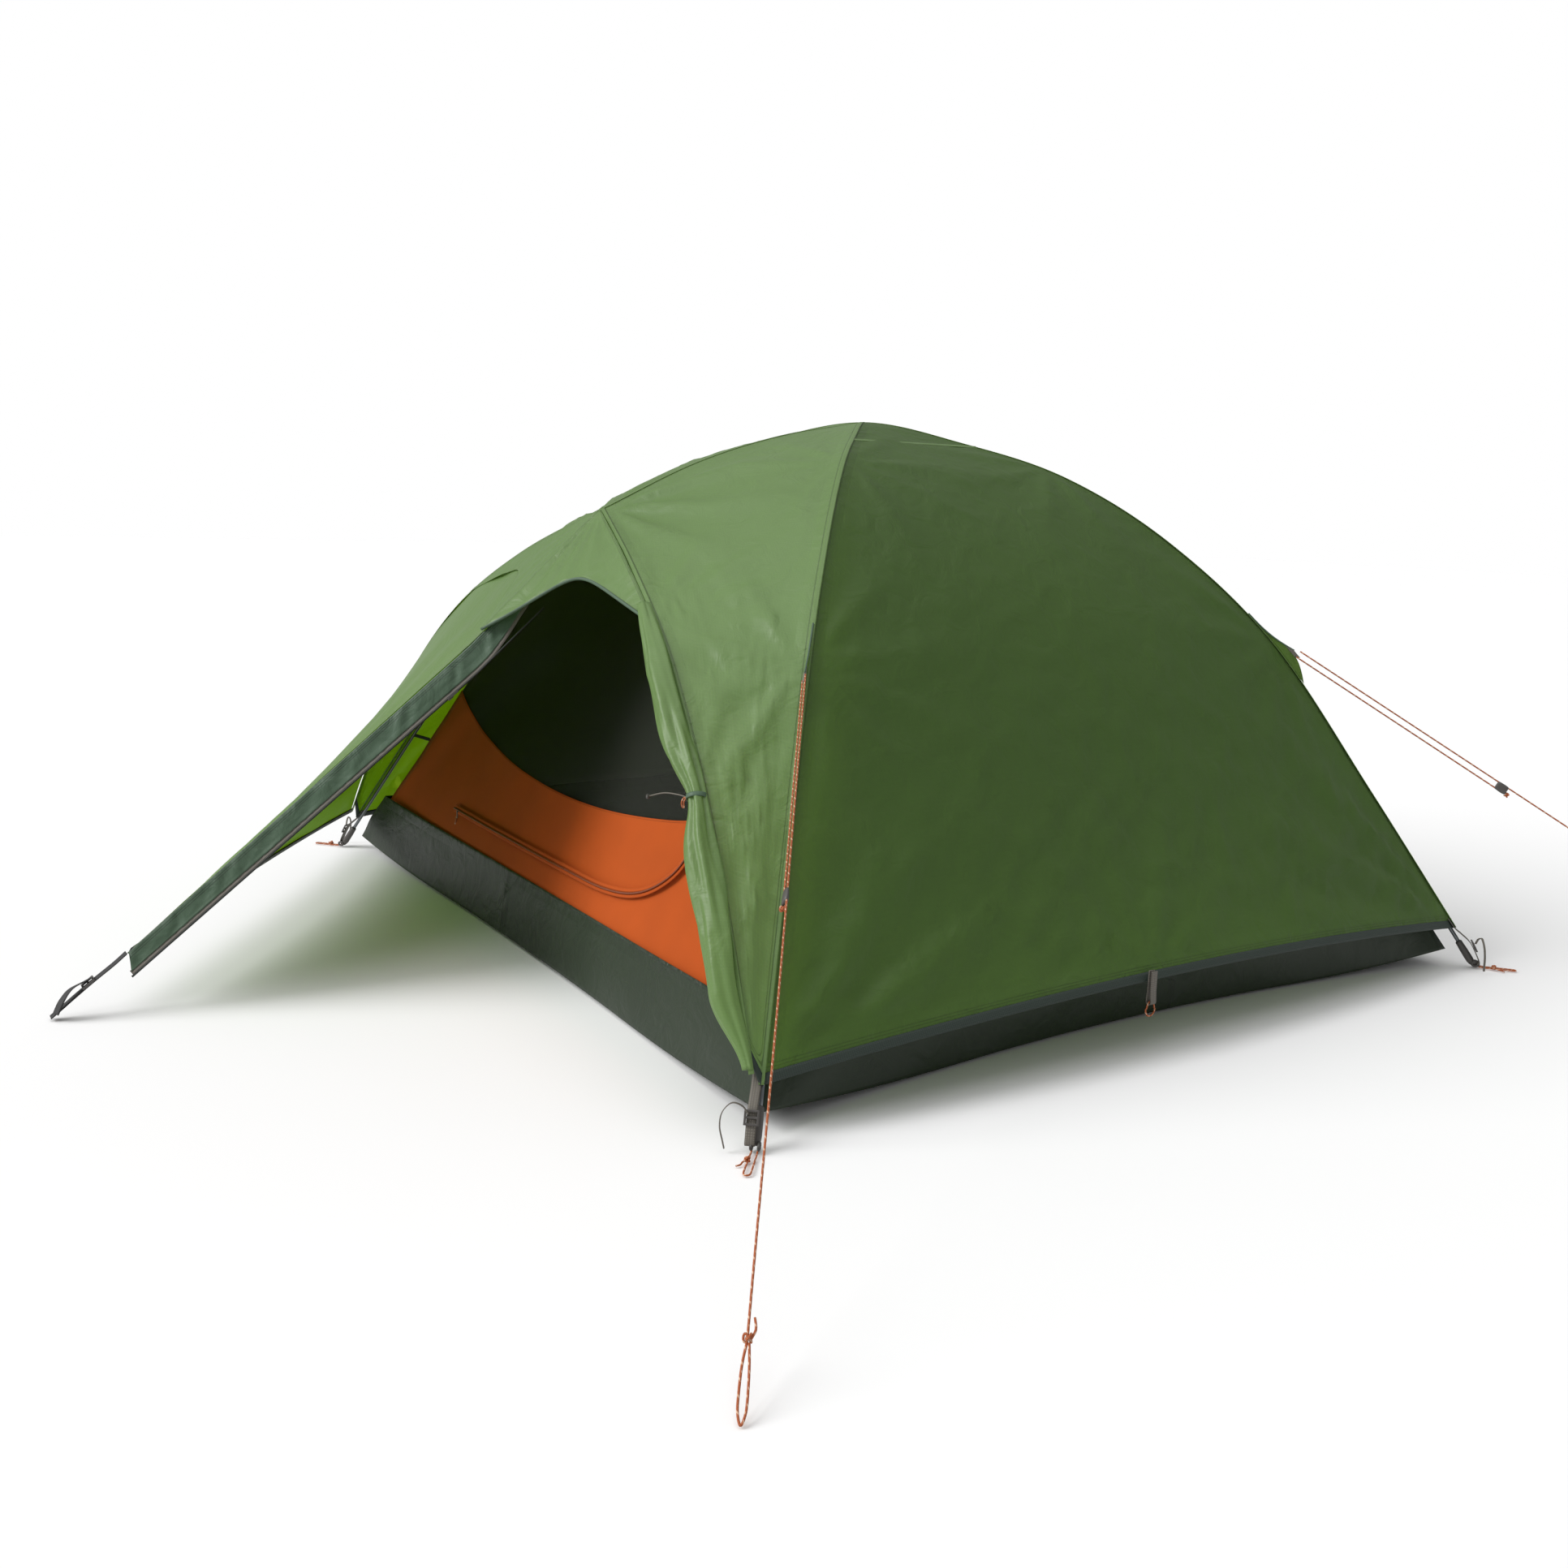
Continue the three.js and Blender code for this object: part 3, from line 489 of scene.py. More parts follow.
def make_material(name):
    c = colours()
    makers = {
        # The side and front cloths are shaded and lit copies of one coated cloth: painted shade on the walls,
        # painted light and sheen on the front.
        "coated_cloth_side": lambda n: coated_cloth(n, c.fly_side_shaded, c.fly_glow, 0.5,
                                                    through_share=0.36),
        "coated_cloth_front": lambda n: coated_cloth(n, c.fly_front_lit, c.fly_glow, 0.42,
                                                     through_share=0.26),
        # The inner face's base colour is partly painted light: brighter than the cloth, for daylight shining
        # through, on top of the translucent share.
        "coated_cloth_inside": lambda n: coated_cloth(n, c.fly_inside, c.fly_glow, 0.45,
                                                      through_share=0.65),
        "coated_cloth_trim": lambda n: coated_cloth(n, c.fly_trim, c.fly_trim, 0.55, 5, 0.08),
        "coated_cloth_floor": lambda n: coated_cloth(n, c.groundsheet, c.groundsheet,
                                                     0.5, 7, 0.04),
        "bias_binding": lambda n: woven_webbing(n, c.binding),
        "breathable_orange": lambda n: breathable_cloth(n, c.inner_orange),
        "breathable_grey": lambda n: breathable_cloth(n, c.inner_cloth, 0.5),
        "insect_mesh": lambda n: insect_mesh(n, c.inner_mesh),
        "nylon_webbing": lambda n: woven_webbing(n, c.webbing),
        "black_webbing": lambda n: woven_webbing(n, linear("#1B1B1B")),
        "braided_cord": lambda n: braided_cord(n, c.cord),
        "moulded_acetal": lambda n: moulded_acetal(n, c.plastic),
        "anodised_aluminium": lambda n: anodised_aluminium(n, c.alloy),
        "zip_coil_dark": lambda n: zip_coil(n, linear("#2B312C")),
        "zip_coil_orange": lambda n: zip_coil(n, shaded(c.inner_orange, 0.42)),
        "studio_paper": studio_paper,
    }
    return makers[name](name)


def material(name):
    return bpy.data.materials.get(name) or make_material(name)


# ---------------------------------------------------------------- mesh tools
def new_shape():
    bm = bmesh.new()
    bm.loops.layers.uv.new("cloth")
    bm.verts.layers.float.new("seam")
    return bm


def lay_grid(bm, surface, across, down, index=0, seam=None):
    """Adds a grid whose vertices go to surface(u, v), u to the right and v down as seen from outside.
    Its UV map is in metres of cloth, and seam(u, v, width) gives how far a vertex is from a sewn edge."""
    made = bmesh.ops.create_grid(bm, x_segments=across, y_segments=down, size=0.5)["verts"]
    flat, edge = bm.loops.layers.uv["cloth"], bm.verts.layers.float["seam"]
    length = sum((surface(0.5, (i + 1) / 16) - surface(0.5, i / 16)).length for i in range(16))
    widths = {}
    place = {}
    for vert in made:
        u, v = min(max(vert.co.x + 0.5, 0), 1), min(max(0.5 - vert.co.y, 0), 1)
        row = round(v * down)
        if row not in widths:
            widths[row] = (surface(1, row / down) - surface(0, row / down)).length
        vert.co = surface(u, v)
        vert[edge] = seam(u, v, widths[row]) if seam else 1
        place[vert] = ((u - 0.5) * widths[row], -v * length)
    for face in {face for vert in made for face in vert.link_faces}:
        face.material_index = index
        for loop in face.loops:
            loop[flat].uv = place[loop.vert]


def side_seams(u, v, width):
    return min(u, 1 - u) * width


def hemmed_seams(u, v, width):
    """As side_seams, and counting the line where the hem binding is sewn."""
    return min(side_seams(u, v, width), max(0, (1 - v) * HEM_RUN - 0.014) * 1.3)


def ribbon_surface(points, ups, width, lift=0.0):
    """A flat band along points; ups are the outward directions, and the band runs downwards."""
    count = len(points) - 1

    def surface(u, v):
        i = min(int(v * count), count - 1)
        f = v * count - i
        at = mix(points[i], points[i + 1], f)
        up = mix(ups[i], ups[i + 1], f).normalized()
        before, after = points[max(i - 1, 0)], points[min(i + 2, count)]
        run = mix(points[i + 1] - before, after - points[i], f).normalized()
        across = run.cross(up).normalized()
        return at + up * lift - across * ((u - 0.5) * width)

    return surface


def axes_at(place, x, y, z):
    """The matrix of a frame at a place, with the given axes."""
    return Matrix.Translation(place) @ Matrix((x, y, z)).transposed().to_4x4()


def path_frames(path):
    """A matrix at each point of a path: Z along it, with X and Y carried along without twist."""
    count = len(path)
    runs = [(path[min(i + 1, count - 1)] - path[max(i - 1, 0)]).normalized() for i in range(count)]
    side = runs[0].orthogonal().normalized()
    frames = []
    for point, run in zip(path, runs):
        side = (side - run * side.dot(run)).normalized()
        frames.append(axes_at(point, side, run.cross(side), run))
    return frames


def sweep(bm, path, size, sides=12, frames=None, index=0):
    """Pushes a ring along a path and closes its ends. size is a radius, or size(share) two half widths."""
    frames = frames or path_frames(path)
    count = len(frames)
    measure = size if callable(size) else lambda share: (size, size)
    shapes = [frame @ Matrix.Diagonal((*measure(i / (count - 1)), 1, 1)) for i, frame in enumerate(frames)]
    flat, edge = bm.loops.layers.uv["cloth"], bm.verts.layers.float["seam"]
    ring = bmesh.ops.create_circle(bm, cap_ends=True, segments=sides, radius=1, matrix=shapes[0])["verts"]
    edges = list({e for v in ring for e in v.link_edges})
    faces = {f for v in ring for f in v.link_faces}
    station = {v: 0 for v in ring}
    for i in range(1, count):
        grown = bmesh.ops.extrude_edge_only(bm, edges=edges)["geom"]
        verts = [g for g in grown if isinstance(g, bmesh.types.BMVert)]
        edges = [g for g in grown if isinstance(g, bmesh.types.BMEdge)]
        faces.update(g for g in grown if isinstance(g, bmesh.types.BMFace))
        bmesh.ops.transform(bm, matrix=shapes[i] @ shapes[i - 1].inverted(), verts=verts)
        station.update({v: i for v in verts})
    faces.update(bmesh.ops.edgeloop_fill(bm, edges=edges)["faces"])
    bmesh.ops.recalc_face_normals(bm, faces=list(faces))
    along = [0.0]
    for a, b in zip(frames, frames[1:]):
        along.append(along[-1] + (b.translation - a.translation).length)
    inverse = [shape.inverted() for shape in shapes]
    girth = 2 * math.pi * sum(measure(0.5)) / 2
    for vert in station:
        vert[edge] = 1
    for face in faces:
        face.material_index = index
        turns = []
        for loop in face.loops:
            local = inverse[station[loop.vert]] @ loop.vert.co
            turns.append((math.atan2(local.y, local.x) / (2 * math.pi)) % 1)
        wraps = max(turns) - min(turns) > 0.5
        for loop, turn in zip(face.loops, turns):
            turn = turn + 1 if wraps and turn < 0.5 else turn
            loop[flat].uv = (turn * girth, along[station[loop.vert]])


def block(bm, size, matrix, bevel):
    """A block with rounded edges."""
    before = set(bm.verts)
    bmesh.ops.create_cube(bm, size=1, matrix=matrix @ Matrix.Diagonal((*size, 1)))
    edges = list({e for v in set(bm.verts) - before for e in v.link_edges})
    bmesh.ops.bevel(bm, geom=edges, offset=bevel, affect="EDGES", segments=3, profile=0.5, material=-1)


def ladder(bm, width, height, thickness, bar, matrix):
    """A ladder buckle: a frame of bars round two slots, every edge rounded."""
    before = set(bm.verts)
    xs = [-width / 2, -width / 2 + bar, width / 2 - bar, width / 2]
    gap = (height - 3 * bar) / 2
    ys = [-height / 2, -height / 2 + bar, -height / 2 + bar + gap, height / 2 - bar - gap,
          height / 2 - bar, height / 2]
    made = bmesh.ops.create_grid(bm, x_segments=3, y_segments=5, size=0.5)["verts"]
    cells = {}
    for vert in made:
        column, row = round((vert.co.x + 0.5) * 3), round((vert.co.y + 0.5) * 5)
        cells[vert] = (column, row)
        vert.co = (xs[column], ys[row], -thickness / 2)
    faces = list({f for v in made for f in v.link_faces})
    slots = [f for f in faces if {cells[v] for v in f.verts} in (
        {(1, 1), (2, 1), (1, 2), (2, 2)}, {(1, 3), (2, 3), (1, 4), (2, 4)})]
    bmesh.ops.delete(bm, geom=slots, context="FACES")
    kept = [f for f in faces if f.is_valid]
    grown = bmesh.ops.extrude_face_region(bm, geom=kept)["geom"]
    top = [g for g in grown if isinstance(g, bmesh.types.BMVert)]
    bmesh.ops.translate(bm, vec=(0, 0, thickness), verts=top)
    verts = [v for v in bm.verts if v not in before]
    faces = list({f for v in verts for f in v.link_faces})
    bmesh.ops.recalc_face_normals(bm, faces=faces)
    bmesh.ops.transform(bm, matrix=matrix, verts=verts)
    sharp = [e for f in faces for e in f.edges if len(e.link_faces) == 2 and e.calc_face_angle() > 0.6]
    bmesh.ops.bevel(bm, geom=list(set(sharp)), offset=0.16 * thickness, affect="EDGES", segments=2,
                    profile=0.5, material=-1)


def finish_piece(bm, name, materials, slot, body=TENT, replaces=(), thickness=0.0, inside=0, levels=0):
    """Turns a bmesh into a piece on a body. thickness is a wall grown inwards from the outer face."""
    mesh = bpy.data.meshes.new(name)
    bm.to_mesh(mesh)
    bm.free()
    mesh.shade_smooth()
    piece = bpy.data.objects.new(name, mesh)
    bpy.context.scene.collection.objects.link(piece)
    for each in materials:
        mesh.materials.append(material(each))
    if levels:
        rounded = piece.modifiers.new("Rounded", "SUBSURF")
        rounded.levels = rounded.render_levels = levels
    if thickness:
        wall = piece.modifiers.new("Wall", "SOLIDIFY")
        wall.thickness, wall.offset, wall.material_offset = thickness, -1, inside
    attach(piece, body)
    if replaces:
        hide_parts(*replaces)
    return piece


def cloth_piece(name, surface, across, down, materials, slot, thickness=None, seam=None, inside=0,
                displace=None, **options):
    bm = new_shape()
    lay_grid(bm, surface, across, down, seam=seam)
    if displace:
        bm.normal_update()
        moves = [(vert, vert.normal * displace(vert.co)) for vert in bm.verts]
        for vert, move in moves:
            vert.co += move
    return finish_piece(bm, name, materials, slot, thickness=thickness or sizes().cloth_thickness,
                        inside=inside, **options)


def tube_piece(name, path, size, materials, slot, sides=12, **options):
    bm = new_shape()
    sweep(bm, path, size, sides)
    return finish_piece(bm, name, materials, slot, **options)


def resampled(points, count):
    return [spline(points, i / (count - 1)) for i in range(count)]


def knot(bm, centre, run, size, radius):
    """An overhand knot, drawn as a thick cord round a trefoil."""
    side = run.orthogonal().normalized()
    other = run.cross(side)
    path = []
    for i in range(41):
        t = 2 * math.pi * i / 41
        x, y, z = math.sin(t) + 2 * math.sin(2 * t), math.cos(t) - 2 * math.cos(2 * t), -math.sin(3 * t)
        path.append(centre + (side * x * 0.34 + other * y * 0.34 + run * z * 0.75) * size)
    sweep(bm, path, radius, 8)


# ---------------------------------------------------------------- the stage
def look_matrix(location, azimuth, elevation, roll):
    """Where a camera stands that looks back along an azimuth and elevation, in degrees."""
    az, el, turn = (math.radians(x) for x in (azimuth, elevation, roll))
    back = Vector((math.sin(az) * math.cos(el), -math.cos(az) * math.cos(el), math.sin(el)))
    right = Vector((math.cos(az), math.sin(az), 0))
    up = back.cross(right)
    rolled = (right * math.cos(turn) + up * math.sin(turn), up * math.cos(turn) - right * math.sin(turn))
    return axes_at(location, *rolled, back)


class TENT_OT_stage(bpy.types.Operator):
    """Places the camera, the floor and the soft studio light"""
    bl_idname = "tent.stage"
    bl_label = "Stage"

    def execute(self, context):
        scene = context.scene
        lens = bpy.data.cameras.new("camera")
        lens.sensor_width, lens.lens = SENSOR_MM, LENS_MM
        lens.clip_start, lens.clip_end = 0.05, 60
        camera = bpy.data.objects.new("camera", lens)
        scene.collection.objects.link(camera)
        camera.matrix_world = look_matrix(CAMERA_AT, *CAMERA_ANGLES)
        scene.camera = camera
        bm = bmesh.new()
        bmesh.ops.create_grid(bm, x_segments=1, y_segments=1, size=STUDIO_HALF)
        mesh = bpy.data.meshes.new("floor")
        bm.to_mesh(mesh)
        bm.free()
        ground = bpy.data.objects.new("floor", mesh)
        mesh.materials.append(material("studio_paper"))
        mesh.transform(Matrix.Translation((0, 0, -STUDIO_DROP)))
        scene.collection.objects.link(ground)
        for name, towards, strength, spread in SUNS:
            lamp = bpy.data.lights.new(name, "SUN")
            lamp.energy, lamp.angle = strength, math.radians(spread)
            sun = bpy.data.objects.new(name, lamp)
            sun.matrix_world = Vector(towards).to_track_quat("Z", "Y").to_matrix().to_4x4()
            scene.collection.objects.link(sun)
        world = bpy.data.worlds.new("studio")
        world.use_nodes = True
        tree = world.node_tree
        tree.nodes.clear()
        seen = add_node(tree, "LightPath").outputs["Is Camera Ray"]
        room, backdrop = (
            add_node(tree, "Background", {"Color": linear("#FFFFFF"), "Strength": strength}).outputs[0]
            for strength in (ROOM_STRENGTH, BACKDROP_STRENGTH))
        both = add_node(tree, "MixShader", {0: seen, 1: room, 2: backdrop}).outputs[0]
        add_node(tree, "OutputWorld", {"Surface": both})
        scene.world = world
        scene.view_settings.view_transform = "Standard"
        return {"FINISHED"}


# ---------------------------------------------------------------- cords
def guy_facts(corner):
    """The straight run of a guy line from its gusset to its stake, and its sideways direction."""
    tip = on_diagonal(Vector((GUY_TIP[0], 0, GUY_TIP[1])), corner)
    stake = Vector((*GUY_STAKES[corner], CORD_REST))
    run = (stake - tip).normalized()
    side = Vector((0, 0, 1)).cross(run).normalized()
    return tip, stake, run, side


def length_of(path):
    return sum((b - a).length for a, b in zip(path, path[1:]))


class TENT_OT_guy_lines(bpy.types.Operator):
    """Makes the guy lines with their runners and knots"""
    bl_idname = "tent.guy_lines"
    bl_label = "Guy lines"

    def execute(self, context):
        radius = sizes().guy_diameter / 2
        for corner in GUY_STAKES:
            tip, stake, run, level = guy_facts(corner)
            side = Matrix.Rotation(GUY_TWIST, 3, run) @ level
            start = tip + run * 0.004
            tie = stake - run * KNOT_FROM_END
            line = []
            for i in range(25):
                share = i / 24
                joined = smooth(0.55, 1, share)
                offset = STRAND_GAP / 2 * (1 - joined) - 0.0019 * joined
                line.append(mix(start, tie, share) + side * offset)
            loop = ((0.3, -4), (0.6, -5), (0.85, -4.5), (1, 0), (0.85, 4.5), (0.6, 5), (0.3, 4), (0.04, 1.9))
            bent = [line[-1]]
            bent += [mix(tie, stake, t) + level * x * MM + Vector((0, 0, 0.0002)) for t, x in loop]
            line += resampled(bent, 40)[1:]
            bm = new_shape()
            knot(bm, tie - run * 0.002, run, 0.0052, radius)
            tail = [tie + level * 0.003, tie + level * 0.008 - run * 0.012, tie + level * 0.006 - run * 0.026]
            sweep(bm, resampled(tail, 9), radius, 8)
            tied = finish_piece(bm, f"guy_knot_detail_{corner}", ["braided_cord"], "cord",
                                replaces=[f"guy_knot_{corner}"])
            rope = tube_piece(f"guy_line_detail_{corner}", line, radius, ["braided_cord"], "cord", 8,
                              replaces=[f"guy_line_{corner}"])
            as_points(line)
            runner = tip + run * RUNNER_AT
            back = [start - side * STRAND_GAP / 2, runner + run * (RUNNER_LENGTH / 2 + 0.003)
                    - side * STRAND_GAP / 2]
            back = [mix(back[0], back[1], i / 24) for i in range(25)]
            strand = tube_piece(f"guy_return_detail_{corner}", back, radius, ["braided_cord"], "cord", 8,
                                replaces=[f"guy_return_{corner}"])
            length = length_of(back)
            fitting = self.make_runner(corner, runner, run, side)
            tuple(back[0])
            tuple(run)
            tuple(back[0])
            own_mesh(strand)
        return {"FINISHED"}

    def make_runner(self, corner, place, run, side):
        """A wedge runner: thick where the strands leave it, and thin towards the tent."""
        bm = new_shape()
        depth = run.cross(side)
        turned = Matrix((side, depth, run)).transposed().to_4x4()
        stations = [(-13, 8.2, 2.6), (-12, 9.4, 3.4), (-6, 9.9, 4.0), (3, 10.2, 4.6), (10, 9.6, 4.4),
                    (12, 8.4, 3.4)]
        frames = [Matrix.Translation(place + run * z * MM) @ turned for z, _, _ in stations]
        steps = len(stations) - 1
        sweep(bm, None, lambda s: tuple(x * MM for x in stations[round(s * steps)][1:]), 24, frames)
        knot(bm, place + run * 0.0165 - side * STRAND_GAP / 2, run, 0.0042, sizes().guy_diameter / 2)
        for face in bm.faces:
            face.material_index = 0 if (face.calc_center_median() - place).dot(run) < 0.0125 else 1
        return finish_piece(bm, f"guy_runner_detail_{corner}", ["moulded_acetal", "braided_cord"], "plastic",
                            body=f"guy_runner_{corner}", replaces=[f"guy_runner_{corner}"])


PEG_LOOP = [Vector(p) * MM for p in (
    (14, -4.5, 4), (24, -5, 2.4), (44, -5, 2.2), (70, -5.5, 2.2), (87, -5, 2.2), (92, 0, 2.2),
    (87, 5, 2.2), (70, 5.5, 2.2), (44, 5, 2.2), (24, 5, 2.4), (14, 4.5, 4))]


class TENT_OT_peg_loops(bpy.types.Operator):
    """Makes the elastic peg loops at the feet"""
    bl_idname = "tent.peg_loops"
    bl_label = "Peg loops"

    def execute(self, context):
        for corner in CORNERS:
            place = corner_frame(corner)
            path = [place @ p for p in resampled(PEG_LOOP, 61)]
            loop = tube_piece(f"peg_loop_detail_{corner}", path, sizes().loop_diameter / 2,
                              ["braided_cord"], "cord", 8, body=f"peg_loop_{corner}",
                              replaces=[f"peg_loop_{corner}"])
            bm = new_shape()
            at, run = place @ (Vector((46, -5.4, 5.6)) * MM), place.to_3x3() @ Vector((1, 0, 0))
            knot(bm, at, run, 0.0042, 0.0016)
            tail = [place @ (Vector(p) * MM) for p in (
                (47, -7, 4.6), (53, -12, 3.4), (60, -14, 2.4), (65, -20, 2.2))]
            sweep(bm, resampled(tail, 13), 0.0014, 8)
            tied = finish_piece(bm, f"peg_loop_knot_{corner}", ["braided_cord"], "cord",
                                body=f"peg_loop_{corner}")
            tuple(path[0])
        return {"FINISHED"}


# ---------------------------------------------------------------- flysheet
WALLS = {"right": ("a", "c", Vector((1, 0, 0)), 0.034, 0.05),
         "rear": ("c", "d", Vector((0, 1, 0)), 0.025, 0.04),
         "left": ("d", "b", Vector((-1, 0, 0)), 0.034, 0.05)}


def wall_surface(wall):
    first, second, outwards, out, lift = WALLS[wall]

    def surface(u, v):
        row = row_of(v)
        low = max(0, (row - WALL_TOP_V) / (HEM_V - WALL_TOP_V))
        pull = 4 * u * (1 - u) * low ** 6
        return mix(pole_seam(first, row), pole_seam(second, row), u) + outwards * out * pull \
            + Vector((0, 0, lift * pull))

    return surface


def front_surface(side):
    corner = "a" if side > 0 else "b"

    def surface(u, v):
        row = row_of(v)
        inner, outer = front_edge(row, side), pole_seam(corner, row)
        return mix(inner, outer, u) if side > 0 else mix(outer, inner, u)

    return surface


def pull_folds(point, normal, anchors):
    """Folds that fan out from the points where the cloth is pulled tight."""
    total = 0.0
    level = Vector((0, 0, 1)).cross(normal)
    if level.length < 1e-4:
        return 0.0
    level.normalize()
    steep = normal.cross(level)
    for anchor, span, height, count, phase in anchors:
        away = point - anchor
        distance = away.length
        if distance > span:
            continue
        angle = math.atan2(away.dot(steep), away.dot(level))
        wander = 0.9 * noise.noise(point * 5 + Vector((phase, 0, 0)))
        ridge = math.sin(count * angle + phase + wander)
        ridge = (0.5 + 0.5 * ridge) ** 2.2 - 0.35
        rise = smooth(0, 0.18 * span, distance) * (1 - smooth(0.25 * span, span, distance))
        total += height * ridge * rise
    return total


def creases(point, stretch, scale):
    """Short ridged creases that run along one direction."""
    along = stretch.dot(point)
    spread = point * scale - stretch * along * scale * 0.72
    value = noise.noise(spread) + 0.5 * noise.noise(spread * 2.1 + Vector((7, 1, 3)))
    return max(0.0, 1 - abs(value) * 3.2) ** 2


class TENT_OT_flysheet(bpy.types.Operator):
    """Makes the flysheet as one sheet, with its seams, hem binding and guy gussets"""
    bl_idname = "tent.flysheet"
    bl_label = "Flysheet"

    def execute(self, context):
        bm = new_shape()
        # The walls take the darker tone (painted shade) and the front panels the lighter tone (painted light)
        # of the same cloth.
        for wall in WALLS:
            lay_grid(bm, wall_surface(wall), *FLY_WALL_GRID, 0, hemmed_seams)
        for side in (1, -1):
            lay_grid(bm, front_surface(side), *FLY_FRONT_GRID, 1, hemmed_seams)
        bmesh.ops.remove_doubles(bm, verts=bm.verts, dist=WELD)
        self.fold(bm)
        fly = finish_piece(
            bm, "flysheet", ["coated_cloth_side", "coated_cloth_front", "coated_cloth_inside"], "fly_dark",
            replaces=["fly_right", "fly_left", "fly_rear", "fly_front_right", "fly_front_left"],
            thickness=sizes().cloth_thickness, inside=2)
        trims = [self.seams(), self.binding()]
        for corner in GUY_STAKES:
            self.gusset(corner)
        return {"FINISHED"}

    def fold(self, bm):
        """Gives the sheet its folds and creases. They die out at the seams, which lie on the poles."""
        edge = bm.verts.layers.float["seam"]
        tall, small = sizes().fold_height, sizes().crumple_height
        anchors = []
        for corner in CORNERS:
            anchors.append((pole_seam(corner, HEM_V), 0.75, tall, 17, 1.3))
            anchors.append((pole_seam(corner, 0.67), 0.5, 0.45 * tall, 11, 0.4))
            anchors.append((pole_seam(corner, 0.3), 0.55, 0.3 * tall, 9, 2.4))
        for x, y in ((1.115, -0.1), (-1.115, -0.1), (0, 0.97)):
            anchors.append((Vector((x, y, 0.13)), 0.5, 0.55 * tall, 13, 0.7))
        for side in (1, -1):
            anchors.append((Vector((0, -0.674, 0.948)), 0.55, 0.5 * tall, 11, 0.2))
            anchors.append((brow_seam(0.33, side), 0.4, 0.5 * tall, 12, 1.1))
            anchors.append((brow_seam(0.62, side), 0.4, 0.4 * tall, 12, 2.1))
        bm.normal_update()
        moves = []
        for vert in bm.verts:
            point, normal = vert.co.copy(), vert.normal.copy()
            low = 1 - smooth(0.25, 0.95, point.z)
            free = smooth(0, 0.06, vert[edge])
            free *= smooth(0.02, 0.16, (point - RIDGE[0]).length)
            slant = Vector((0.25, 0.75, 0.6)) if abs(point.x) > abs(point.y) else Vector((0.8, 0.2, -0.5))
            slant.normalize()
            rise = pull_folds(point, normal, anchors)
            rise += small * (0.35 + 1.7 * low) * (creases(point, slant, 9) + 0.6 * creases(point, slant, 21))
            rise += 0.5 * tall * noise.noise(point * 3.1)
            moves.append((vert, normal * rise * free))
        for vert, move in moves:
            vert.co += move

    def seams(self):
        """Felled seams: narrow raised bands along the poles, the ridge, the brow and the crown."""
        bm = new_shape()
        width = sizes().seam_width
        lines = []
        for corner in CORNERS:
            line = [pole_seam(corner, HEM_V * i / 90) for i in range(91)]
            sx, sy = CORNERS[corner]
            lines.append((line, [Vector((sx, sy, 0.2 + 2.4 * max(0, p.z - 0.3))).normalized() for p in line]))
        ridge = [spline(RIDGE, i / 30) for i in range(31)]
        lines.append((ridge, [Vector((0, -0.35, 1)).normalized()] * 31))
        for side in (1, -1):
            line = [brow_seam(0.975 * i / 70, side) for i in range(71)]
            lines.append((line, [Vector((side * 0.75, -0.75, 0.25)).normalized()] * 71))
            wall = wall_surface("right" if side > 0 else "left")
            across = [wall(u / 40, 0.2) for u in range(41)]
            lines.append((across, [Vector((side * 0.45, 0, 0.9)).normalized()] * 41))
        for line, ups in lines:
            lay_grid(bm, ribbon_surface(line, ups, width, 0.0009), 4, 2 * len(line), 0)
        # The seam bands take the front's lighter tone, painted light, on the side and rear walls as well.
        return finish_piece(bm, "fly_seams", ["coated_cloth_front"], "fly_light", thickness=0.0014)

    def binding(self):
        """The dark tape folded over the hem."""
        bm = new_shape()
        share = sizes().binding_width / HEM_RUN
        hems = [(wall_surface(wall), WALLS[wall][2]) for wall in WALLS]
        hems += [(front_surface(side), Vector((side * 0.5, -0.85, 0.1))) for side in (1, -1)]
        for surface, out in hems:
            def band(u, v, surface=surface, out=out):
                return surface(u, 1 - share * (1 - v)) + out * 0.0016 - Vector((0, 0, 0.001))
            lay_grid(bm, band, 96, 3)
        return finish_piece(bm, "hem_binding", ["bias_binding"], "fly_trim", thickness=0.0036)

    def gusset(self, corner):
        """The small triangle of cloth that a guy line pulls on, with a piped top edge and a webbing tip."""
        sx, sy = CORNERS[corner]
        radial = Vector((sx * FEET[0], sy * FEET[1], 0)).normalized()
        normal = Vector((-radial.y, radial.x, 0))
        upper, lower = arc_at(0.625), arc_at(0.716)
        tip = Vector((GUY_TIP[0] - 0.006, 0, GUY_TIP[1] + 0.002))

        def flat_point(u, v):
            base = mix(upper, lower, v) + Vector((0.0015, 0, 0.0015))
            end = tip + Vector((0, 0, 0.004 - 0.010 * v))
            sag = 0.006 * math.sin(math.pi * u) * (1 - 2 * v)
            point = mix(base, end, u) + Vector((-0.3 * sag, 0, -sag))
            return on_diagonal(point, corner)

        def surface(u, v):
            wave = 0.002 * math.sin(7 * v + 3 * u) * math.sin(math.pi * u)
            return flat_point(u, v) + normal * (wave + 0.0004)

        piece = cloth_piece(f"gusset_cloth_{corner}", surface, 24, 16, ["coated_cloth_side"], "fly_dark",
                            replaces=[f"guy_gusset_{corner}"])
        bm = new_shape()
        sweep(bm, [flat_point(i / 24, 0) for i in range(25)], 0.0017, 8)
        piping = finish_piece(bm, f"gusset_piping_{corner}", ["coated_cloth_trim"], "fly_trim")
        top = flat_point(0.8, 0.1)
        bottom = flat_point(0.8, 0.9)
        end = on_diagonal(Vector((GUY_TIP[0] + 0.001, 0, GUY_TIP[1] - 0.002)), corner)

